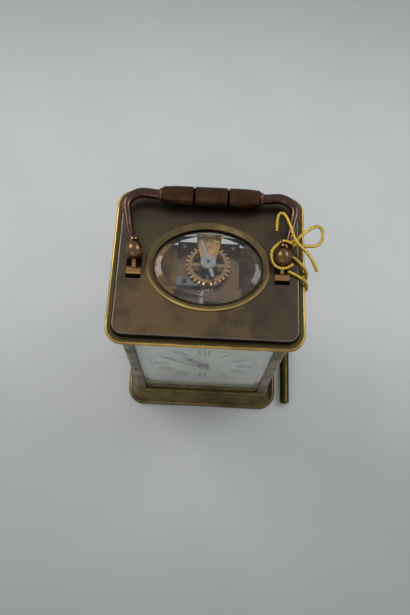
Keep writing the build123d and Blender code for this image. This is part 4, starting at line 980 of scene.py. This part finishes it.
def revolved(profile: Array, centre: Point, axis: Point, steps: int) -> Array:
    """Surface of revolution: each profile point (radius, height) goes round the axis.

    Args:
        profile: array of shape (n, 2).
        centre: point on the axis at height 0.
        axis: direction of the axis.
        steps: points round the axis.

    Returns:
        A grid of shape (n, steps, 3).
    """
    along = np.array(axis, float) / np.linalg.norm(axis)
    guide = np.array([1.0, 0.0, 0.0]) if abs(along[0]) < 0.9 else np.array([0.0, 1.0, 0.0])
    side = np.cross(along, guide)
    side /= np.linalg.norm(side)
    other = np.cross(along, side)
    angle = np.linspace(0, 2 * np.pi, steps, endpoint=False)
    ring = np.cos(angle)[:, None] * side + np.sin(angle)[:, None] * other
    return np.array(centre) + profile[:, None, :1] * ring[None] + profile[:, None, 1:] * along


def rope_grid(path: Array, radius: float, closed: bool) -> Array:
    """Twisted cord: a section with rounded lobes carried along a path and turned as it goes.

    The radius at angle a and length s is radius * (core + swell * |cos(lobes / 2 * (a - turn))|),
    with turn = 2 pi s / twist.

    Args:
        path: points of the middle line.
        radius: outer radius of the cord.
        closed: True for a ring, whose twist is then evened out to a whole number of turns.

    Returns:
        A grid of shape (points, ROPE_COLUMNS, 3).
    """
    if closed:
        tangent = np.roll(path, -1, axis=0) - np.roll(path, 1, axis=0)
    else:
        tangent = np.gradient(path, axis=0)
    tangent /= np.linalg.norm(tangent, axis=1, keepdims=True)
    side = np.cross(tangent, np.array(ROPE_GUIDE))
    side /= np.linalg.norm(side, axis=1, keepdims=True)
    up = np.cross(side, tangent)
    steps = np.linalg.norm(np.diff(path, axis=0), axis=1)
    length = np.concatenate([[0.0], np.cumsum(steps)])
    twist = ROPE_TWIST
    if closed:
        whole = length[-1] + np.linalg.norm(path[0] - path[-1])
        twist = whole / max(1.0, round(whole / twist))
    angle = np.linspace(0, 2 * np.pi, ROPE_COLUMNS, endpoint=False)[None, :]
    turn = 2 * np.pi * length[:, None] / twist
    reach = radius * (ROPE_CORE + ROPE_SWELL * np.abs(np.cos(ROPE_LOBES / 2 * (angle - turn))))
    outward = np.cos(angle)[..., None] * side[:, None] + np.sin(angle)[..., None] * up[:, None]
    return path[:, None] + reach[..., None] * outward


def slotted_head(radius: float, height: float, slot_width: float, slot_depth: float) -> list[Array]:
    """Slotted cheese head standing on z = 0: a disc to the slot's floor and two domed halves above it.

    A half is a section in x and z carried along y. Its rim is x = sqrt(radius^2 - y^2), and its top falls
    to three quarters of the height at the rim, with the square of the distance from the middle.

    Args:
        radius: radius of the head.
        height: height at its middle.
        slot_width: width of the slot.
        slot_depth: depth of the slot.

    Returns:
        Grids whose columns close.
    """
    floor = height - slot_depth
    side = slot_width / 2
    outline = np.array([[POLE, 0.0], [radius, 0.0], [radius, floor], [POLE, floor]])
    disc = revolved(outline, (0, 0, 0), (0, 0, 1), 32)
    reach = np.sqrt(radius**2 - side**2) * HEAD_REACH
    y = reach * np.sin(np.linspace(-np.pi / 2, np.pi / 2, 17))[:, None]
    outer = np.sqrt(radius**2 - y**2)
    x_top = side + np.linspace(0, 1, 6)[None, :] * (outer - side)
    z_top = height - (x_top**2 + y**2) / radius**2 * height / 4
    x = np.concatenate([x_top, outer, np.full_like(outer, side)], axis=1)
    foot = np.full_like(outer, floor - HEAD_BITE)
    z = np.concatenate([z_top, foot, foot], axis=1)
    half = np.stack([x, np.broadcast_to(y, x.shape), z], axis=-1)
    return [disc, half, half * np.array([-1.0, -1.0, 1.0])]


def screw_heads(places: list[Point], outward: Point, turns: tuple[int, ...], size: ScrewSize) -> Surface:
    """Slotted heads at several places.

    Args:
        places: middle of each head's seat.
        outward: direction that the heads face.
        turns: angle of each slot, in degrees.
        size: radius, height, slot width and slot depth.

    Returns:
        The heads as one surface.
    """
    surface = Surface()
    z_axis = np.array(outward, float)
    guide = np.array([0.0, 0.0, 1.0]) if abs(z_axis[2]) < 0.9 else np.array([0.0, 1.0, 0.0])
    x_axis = np.cross(guide, z_axis)
    frame = np.stack([x_axis, np.cross(z_axis, x_axis), z_axis])
    for place, degrees in zip(places, turns):
        angle = np.radians(degrees)
        spin = np.array([[np.cos(angle), np.sin(angle), 0], [-np.sin(angle), np.cos(angle), 0], [0, 0, 1]])
        for grid in slotted_head(*size):
            surface.add_grid(grid @ spin @ frame + np.array(place), close_columns=True, caps=True)
    return surface


def turned(profile: Array, centre: Point, axis: Point, steps: int) -> Surface:
    """Closed turned piece: a surface of revolution with flat ends.

    Args:
        profile: radius and height of each point of the profile, from one pole to the other.
        centre: point on the axis at height 0.
        axis: direction of the axis.
        steps: points round the axis.

    Returns:
        The piece's surface.
    """
    surface = Surface()
    surface.add_grid(revolved(profile, centre, axis, steps), close_columns=True, caps=True)
    return surface


def in_mm(box: tuple[Vector, Vector]) -> tuple[Array, Array]:
    """Low and high corner of a box, from metres to millimetres."""
    low, high = (np.array(corner) / MM for corner in box)
    return low, high


# Sub-assemblies


@dataclass
class Bow:
    """Gold cord tied in a bow round the right arm of the handle.

    Attributes:
        radius: radius of the cord.
        tie: middle of the ring round the arm.
        tie_axis: direction of the arm there.
        tie_radius: radius of the ring, to the middle of the cord.
        knot: middle of the knot.
        knot_size: size of the knot's windings.
        knot_share: radius of the cord in the knot, drawn tight, as a share of the free cord's.
        loop: route of the loop, from the knot and back.
        tail: route of the tail, from the folded end over the knot to the free end.
        turn: route of the turn round the knop, from the ring.
        strands: routes of the two strands over the edge of the top.
        route_steps: points between two control points of a route.
    """

    radius: float = 0.75
    tie: Point = (33.735, 9.167, 126.712)
    tie_axis: Point = (0.3651, 0.9295, 0.0522)
    tie_radius: float = 2.55
    knot: Point = (36.785, 9.367, 128.312)
    knot_size: float = 0.46
    knot_share: float = 0.8
    loop: tuple[Point, ...] = (
        (37.085, 10.267, 128.012), (43.6, 16.6, 130.2), (49.0, 16.9, 129.0),
        (48.6, 9.6, 128.2), (43.4, 6.9, 128.6), (37.185, 8.467, 127.812),
    )
    tail: tuple[Point, ...] = (
        (29.2, 15.0, 127.0), (28.9, 21.4, 128.8), (31.6, 23.2, 130.2), (34.6, 15.6, 131.2),
        (36.485, 9.167, 130.012), (41.2, 5.0, 129.4), (44.8, 0.6, 127.8), (46.4, -3.0, 126.0),
    )
    turn: tuple[Point, ...] = (
        (31.361, 10.099, 126.712), (27.0, 7.0, 127.0), (27.0, 1.4, 125.8),
        (29.6, -2.0, 125.65), (33.8, -2.0, 125.65), (36.2, 0.0, 126.4),
    )
    strands: tuple[tuple[Point, ...], ...] = (
        ((36.4, 4.6, 123.5), (39.15, 2.262, 124.0), (43.55, -1.478, 120.9), (43.55, -1.878, 114.9)),
        ((34.4, -2.2, 123.5), (39.15, -4.575, 124.0), (43.55, -6.775, 120.9), (43.55, -7.175, 114.9)),
    )
    route_steps: int = 24

    def route(self, points: tuple[Point, ...]) -> Array:
        """Points read from a smooth spline with the route's points as its control points.

        Args:
            points: control points, in millimetres.

        Returns:
            Points along the spline, in millimetres.
        """
        curve = bpy.data.curves.new("route", "CURVE")
        curve.dimensions = "3D"
        curve.resolution_u = self.route_steps
        spline = curve.splines.new("NURBS")
        spline.points.add(len(points) - 1)
        for control, point in zip(spline.points, points):
            control.co = (*(Vector(point) * MM), 1.0)
        spline.order_u = 3
        spline.use_endpoint_u = True
        holder = bpy.data.objects.new("route", curve)
        bpy.context.scene.collection.objects.link(holder)
        bpy.context.view_layer.update()
        mesh = bpy.data.meshes.new_from_object(holder)
        found = np.zeros(len(mesh.vertices) * 3)
        mesh.vertices.foreach_get("co", found)
        bpy.data.objects.remove(holder)
        bpy.data.curves.remove(curve)
        bpy.data.meshes.remove(mesh)
        return found.reshape(-1, 3) / MM

    def ring(self, steps: int = 72) -> Array:
        """Middle line of the ring round the arm."""
        return revolved(np.array([[self.tie_radius, 0.0]]), self.tie, self.tie_axis, steps)[0]

    def windings(self, steps: int = 144) -> Array:
        """Middle line of the knot: a trefoil, x = sin t + 2 sin 2t, y = cos t - 2 cos 2t, z = -sin 3t.

        Args:
            steps: points along the line.

        Returns:
            Points of the line, in millimetres.
        """
        t = np.linspace(0, 2 * np.pi, steps, endpoint=False)
        x = np.sin(t) + 2 * np.sin(2 * t)
        y = np.cos(t) - 2 * np.cos(2 * t)
        return np.array(self.knot) + self.knot_size * np.stack([x, y, -np.sin(3 * t)], axis=1)

    def free_rope(
        self, name: str, points: tuple[Point, ...], finish: Material, node: str
    ) -> None:
        """Args:
            name: name of the piece.
            points: route of the cord.
            finish: its material.
            node: solid that it stands for.
        """
        path = self.route(points)
        surface = Surface()
        surface.add_rope(path, self.radius)
        piece = surface.make(name, finish, Part.HANDLE, "gold_cord")
        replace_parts(piece, node)

    def build(self, finish: Material) -> None:
        """Make the loop, the tail, the knot with its turns, and the strands over the edge.

        Args:
            finish: material of the cord.
        """
        self.free_rope("bow_loop_rope", self.loop, finish, "bow_loop")
        self.free_rope("bow_tail_rope", self.tail, finish, "bow_tail")
        knot = Surface()
        knot.add_rope(self.ring(), self.radius, closed=True)
        knot.add_rope(self.windings(), self.knot_share * self.radius, closed=True)
        knot.add_rope(self.route(self.turn), self.radius)
        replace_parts(knot.make("bow_knot_rope", finish, Part.HANDLE, "gold_cord"), "bow_knot")
        over_edge = Surface()
        for points in self.strands:
            over_edge.add_rope(self.route(points), self.radius)
        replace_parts(over_edge.make("bow_strand_ropes", finish, Part.CASE, "gold_cord"), "bow_strands")


@dataclass
class DialPrint:
    """Printed hours and minute track of the dial.

    Attributes:
        centre_z: height of the middle.
        inner: radius at the feet of the numerals.
        height: height of the numerals.
        thick: width of a heavy stroke.
        thin: width of a light stroke.
        gap: space between letters.
        serif: height of a serif.
        stem_serif: how much wider than its stem the letter I is.
        letter_width: width of V and X.
        insets: how far the middle of a heavy and of a light stroke lies inside that width.
        track: inner and outer radius of the minute track.
        line: half the width of the track's rings.
        marks: half the width of an hour's and of a minute's mark.
        ink: thickness of the ink.
        bite: how far the ink reaches into the enamel.
        hours: numerals from the top.
    """

    centre_z: float = 61.0
    inner: float = 17.6
    height: float = 7.6
    thick: float = 0.78
    thin: float = 0.22
    gap: float = 0.45
    serif: float = 0.25
    stem_serif: float = 0.7
    letter_width: float = 2.7
    insets: Pair = (0.5, 0.25)
    track: Pair = (26.6, 27.9)
    line: float = 0.08
    marks: Pair = (0.45, 0.14)
    ink: float = 0.03
    bite: float = 0.02
    hours: tuple[str, ...] = ("XII", "I", "II", "III", "IIII", "V", "VI", "VII", "VIII", "IX", "X", "XI")

    def letter(self, sign: str) -> tuple[list[Stroke], float]:
        """Strokes of a letter: slanted or upright bars, with a flat bar across each open end as a serif.

        Args:
            sign: I, V or X.

        Returns:
            The strokes, each as foot x, foot height, head x, head height and width, and the letter's width.
        """
        tall, top = self.height, self.height - self.serif
        wide = self.thick + self.stem_serif if sign == "I" else self.letter_width
        heavy, light = self.insets
        if sign == "I":
            strokes = [(wide / 2, 0.0, wide / 2, tall, self.thick)]
        elif sign == "V":
            strokes = [(wide / 2, 0.0, heavy, tall, self.thick)]
            strokes.append((wide / 2, 0.0, wide - light, tall, self.thin))
        else:
            strokes = [(wide - heavy, 0.0, heavy, tall, self.thick)]
            strokes.append((light, 0.0, wide - light, tall, self.thin))
        ends = (top,) if sign == "V" else (0.0, top)
        strokes += [(wide / 2, end, wide / 2, end + self.serif, wide) for end in ends]
        return strokes, wide

    @staticmethod
    def bearings(turn: float | Array) -> tuple[Array, Array]:
        """Directions on the dial: across is (cos turn, -sin turn) and outwards is (sin turn, cos turn).

        Args:
            turn: angle from the top, clockwise, in radians.

        Returns:
            The directions across and outwards.
        """
        across = np.stack([np.cos(turn), -np.sin(turn)], axis=-1)
        outward = np.stack([np.sin(turn), np.cos(turn)], axis=-1)
        return across, outward

    def strokes(self) -> Array:
        """Corners of all strokes in the plane of the dial, each numeral centred on its hour's bearing.

        Returns:
            An array of shape (n, 4, 2), with x to the right and y up from the middle of the dial.
        """
        corners = []
        for hour, word in enumerate(self.hours):
            letters = [self.letter(sign) for sign in word]
            whole = sum(wide for _, wide in letters) + self.gap * (len(word) - 1)
            start = -whole / 2
            across, outward = self.bearings(np.radians(30 * hour))
            for strokes, wide in letters:
                for foot_x, foot, head_x, head, width in strokes:
                    half = width / 2
                    flat = np.array([[foot_x - half, foot], [foot_x + half, foot], [head_x + half, head],
                                     [head_x - half, head]])
                    flat += np.array([start, self.inner])
                    corners.append(flat[:, :1] * across + flat[:, 1:] * outward)
                start += wide + self.gap
        return np.array(corners)

    def ticks(self) -> Array:
        """Corners of the sixty minute marks, wider at the hours: a bar along each minute's bearing.

        Returns:
            An array of shape (60, 4, 2), with x to the right and y up from the middle of the dial.
        """
        minutes = np.arange(60)
        across, outward = self.bearings(np.radians(6 * minutes))
        side = across * np.where(minutes % 5 == 0, *self.marks)[:, None]
        low, high = outward * self.track[0], outward * self.track[1]
        return np.stack([low - side, low + side, high + side, high - side], axis=1)

    def build(self, finish: Material, pale: Material) -> None:
        """Make the numerals and the track on the face of the dial.

        Args:
            finish: ink of the numerals.
            pale: paler ink of the track.
        """
        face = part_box("dial")[0].y / MM
        middle = np.array([0.0, face - self.ink, self.centre_z])
        thickness = np.array([0.0, self.ink + self.bite, 0.0])
        numerals, track = Surface(), Surface()
        for surface, flat in ((numerals, self.strokes()), (track, self.ticks())):
            upright = np.stack([flat[..., 0], 0 * flat[..., 0], flat[..., 1]], axis=-1)
            surface.add_prisms(upright + middle, thickness)
        for radius in self.track:
            near, far = radius - self.line, radius + self.line
            ring = np.array([[near, -self.ink], [far, -self.ink], [far, self.bite], [near, self.bite]])
            grid = revolved(ring, (0.0, face, self.centre_z), (0, 1, 0), 120)
            track.add_grid(grid, close_rows=True, close_columns=True)
        numerals.make("dial_numerals", finish, Part.CASE, "enamel", smooth=False)
        track.make("dial_minute_track", pale, Part.CASE, "enamel", smooth=False)


@dataclass
class Movement:
    """Small dressing of the movement: slotted screws, the nut on the hands and the end-stone's jewel.

    Attributes:
        platform_screw: radius, height, slot width and slot depth of the platform's screws.
        post_screw: the same for the screws of the back plate.
        cock_screw: the same for the screw of the balance cock.
        platform_turns: angle of each platform screw's slot, in degrees.
        post_turns: the same for the screws of the back plate.
        cock_turn: the same for the screw of the balance cock.
        lever_turn: the same for the screw of the lever cock.
        cock_screw_x: where the balance cock's screw stands, clear of the index's swing.
        cock_setback: how far it stands in front of the cock's back edge.
        lever_inset: how far the lever cock's screw stands inside its left edge.
        plate_thick: thickness of the back plate.
        post_x: half the distance between the posts of the back plate.
        post_z: heights of the posts.
        hub_z: height of the hands' middle.
        hub_sink: how far the hands' nut is sunk on its arbor.
        nut: profile of that nut, as radius and height.
        jewel: radius and rise of the end-stone's jewel.
        jewel_base: how far the jewel goes on below its rim.
        jewel_sink: how far its rim lies below the top of the cap.
    """

    platform_screw: ScrewSize = (1.2, 0.75, 0.3, 0.35)
    post_screw: ScrewSize = (2.4, 1.3, 0.5, 0.6)
    cock_screw: ScrewSize = (1.4, 0.7, 0.35, 0.35)
    platform_turns: tuple[int, ...] = (20, 75, 130, 50)
    post_turns: tuple[int, ...] = (35, 110, 80, 15)
    cock_turn: int = 62
    lever_turn: int = 25
    cock_screw_x: float = 3.3
    cock_setback: float = 2.0
    lever_inset: float = 3.4
    plate_thick: float = 2.0
    post_x: float = 26.0
    post_z: Pair = (10.5, 94.0)
    hub_z: float = 61.0
    hub_sink: float = 0.2
    nut: tuple[Pair, ...] = (
        (POLE, 0.75), (0.7, 0.7), (1.15, 0.4), (1.35, 0.0), (1.35, -0.25), (POLE, -0.25),
    )
    jewel: Pair = (0.68, 0.35)
    jewel_base: float = 0.1
    jewel_sink: float = 0.42

    def build(self, steel: Material, dark: Material, ruby: Material, brass: Material) -> None:
        """Make the pieces. The jewel is a quarter of an ellipse, (radius sin a, rise cos a), turned round.

        Args:
            steel: finish of the bright screws.
            dark: finish of the blued screw.
            ruby: finish of the jewel.
            brass: finish of the nut and of the balance cock's screw.
        """
        up = (0, 0, 1)
        low, high = in_mm(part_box("platform_screws"))
        inset = self.platform_screw[0]
        columns, rows = ((low[axis] + inset, high[axis] - inset) for axis in (0, 1))
        spots = [(x, y, low[2]) for x in columns for y in rows]
        heads = screw_heads(spots, up, self.platform_turns, self.platform_screw)
        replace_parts(heads.make("platform_screw_heads", steel, Part.CASE, "steel"), "platform_screws")
        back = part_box("back_plate")[0].y / MM + self.plate_thick
        ends = [(x, back, z) for x in (-self.post_x, self.post_x) for z in self.post_z]
        posts = screw_heads(ends, (0, 1, 0), self.post_turns, self.post_screw)
        posts.make("post_screw_heads", steel, Part.CASE, "steel")
        high = in_mm(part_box("balance_cock"))[1]
        seat = (self.cock_screw_x, high[1] - self.cock_setback, high[2])
        cock = screw_heads([seat], up, (self.cock_turn,), self.cock_screw)
        cock.make("cock_screw_head", brass, Part.CASE, "movement_brass")
        low, high = in_mm(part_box("lever_cock"))
        seat = (low[0] + self.lever_inset, (low[1] + high[1]) / 2, high[2])
        lever_foot = screw_heads([seat], up, (self.lever_turn,), self.platform_screw)
        lever_foot.make("lever_cock_screw_head", dark, Part.CASE, "steel")
        low, high = in_mm(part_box("endstone_cap"))
        x, y = ((low + high) / 2)[:2]
        radius, rise = self.jewel
        angle = np.linspace(0.02, np.pi / 2, 9)
        dome = np.stack([radius * np.sin(angle), rise * np.cos(angle)], axis=1)
        dome = np.concatenate([dome, [[radius, -self.jewel_base], [POLE, -self.jewel_base]]])
        jewel = turned(dome, (x, y, high[2] - self.jewel_sink), up, 24)
        jewel.make("endstone_jewel", ruby, Part.CASE, "steel")
        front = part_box("minute_arbor")[0].y / MM + self.hub_sink
        hub = turned(np.array(self.nut), (0.0, front, self.hub_z), (0, -1, 0), 32)
        hub.make("hand_nut", brass, Part.MINUTE, "movement_brass")


@dataclass
class Studio:
    """Camera, table and soft light.

    Attributes:
        eye: place of the camera.
        pitch: degrees below the horizon.
        yaw: degrees to the right of straight ahead.
        roll: degrees of tilt.
        lens: focal length on a frame of the width given by sensor.
        sensor: width of that frame.
        table_half: half the side of the table's sheet.
        table_drop: how far the sheet lies below the clock's feet.
        sky: colour of the even light.
        lamps: each lamp's place, aim, size, power and colour.
    """

    eye: Point = (-0.93, -107.25, 356.08)
    pitch: float = 69.58
    yaw: float = 0.27
    roll: float = 2.98
    lens: float = 34.65
    sensor: float = 36.0
    table_half: float = 1600.0
    table_drop: float = 0.02
    sky: Rgb = (0.46, 0.475, 0.49)
    lamps: tuple[tuple[Point, Point, float, float, Rgb], ...] = (
        ((-640.0, 380.0, 700.0), (0.0, 40.0, 40.0), 460.0, 2.8, (1.0, 0.99, 0.97)),
        ((600.0, 260.0, 700.0), (0.0, 40.0, 40.0), 400.0, 1.9, (0.99, 0.99, 1.0)),
        ((-250.0, -560.0, 420.0), (0.0, -20.0, 60.0), 420.0, 0.25, (1.0, 0.99, 0.96)),
    )

    def build_camera(self) -> None:
        """Place the camera by its three angles."""
        pitch, yaw, roll = (np.radians(v) for v in (self.pitch, self.yaw, self.roll))
        ahead = np.array([np.sin(yaw) * np.cos(pitch), np.cos(yaw) * np.cos(pitch), -np.sin(pitch)])
        right = np.array([np.cos(yaw), -np.sin(yaw), 0.0])
        up = np.cross(right, ahead)
        tilted_right = np.cos(roll) * right + np.sin(roll) * up
        tilted_up = -np.sin(roll) * right + np.cos(roll) * up
        turn = np.eye(4)
        turn[:3, 0], turn[:3, 1], turn[:3, 2] = tilted_right, tilted_up, -ahead
        turn[:3, 3] = np.array(self.eye) * MM
        camera = bpy.data.cameras.new("camera")
        camera.lens = self.lens
        camera.sensor_width = self.sensor
        camera.clip_start = 0.01
        holder = bpy.data.objects.new("camera", camera)
        holder.matrix_world = Matrix(turn.tolist())
        bpy.context.scene.collection.objects.link(holder)
        bpy.context.scene.camera = holder

    def build_light(self) -> None:
        """Light the scene with an even sky and large soft lamps."""
        scene = bpy.context.scene
        scene.view_settings.view_transform = "Standard"
        world = bpy.data.worlds.new("room")
        world.use_nodes = True
        background = next(n for n in world.node_tree.nodes if n.type == "BACKGROUND")
        background.inputs["Color"].default_value = (*self.sky, 1.0)
        background.inputs["Strength"].default_value = 1.0
        scene.world = world
        for number, (place, aim, size, power, colour) in enumerate(self.lamps):
            lamp = bpy.data.lights.new(f"lamp_{number}", "AREA")
            lamp.size = size * MM
            lamp.energy = power
            lamp.color = colour
            holder = bpy.data.objects.new(f"lamp_{number}", lamp)
            holder.location = Vector(place) * MM
            holder.rotation_euler = (Vector(aim) - Vector(place)).to_track_quat("-Z", "Y").to_euler()
            scene.collection.objects.link(holder)

    def build_table(self, finish: Material) -> None:
        """Lay the table as a flat sheet under the clock.

        Args:
            finish: material of the table.
        """
        half, z = self.table_half * MM, -self.table_drop * MM
        corners = [(-half, -half, z), (half, -half, z), (half, half, z), (-half, half, z)]
        mesh = bpy.data.meshes.new("table")
        mesh.from_pydata(corners, [], [(0, 1, 2, 3)])
        mesh.materials.append(finish)
        table = bpy.data.objects.new("table", mesh)
        bpy.context.scene.collection.objects.link(table)


def dress_solids(nodes: dict[str, bpy.types.Object], finishes: dict[str, Material]) -> None:
    """Give each solid its finish.

    Args:
        nodes: solids by name.
        finishes: materials by name.
    """
    for finish, names in NODE_FINISH.items():
        for name in names:
            slots = nodes[name].data.materials
            slots.clear()
            slots.append(finishes[finish])


def main() -> None:
    """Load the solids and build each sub-assembly in order."""
    logging.basicConfig(level=logging.INFO, format="%(name)s: %(message)s")
    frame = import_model()
    finishes = {finish.name: finish.build() for finish in FINISHES}
    studio = Studio()
    studio.build_camera()
    Bow().build(finishes["gold_lame"])
    dress_solids(frame["nodes"], finishes)
    DialPrint().build(finishes["dial_ink"], finishes["track_ink"])
    trim = ("polished_steel", "blued_steel", "jewel_ruby", "wheel_brass")
    Movement().build(*(finishes[name] for name in trim))
    studio.build_light()
    studio.build_table(TableTop().build())


if __name__ == "__main__":
    main()
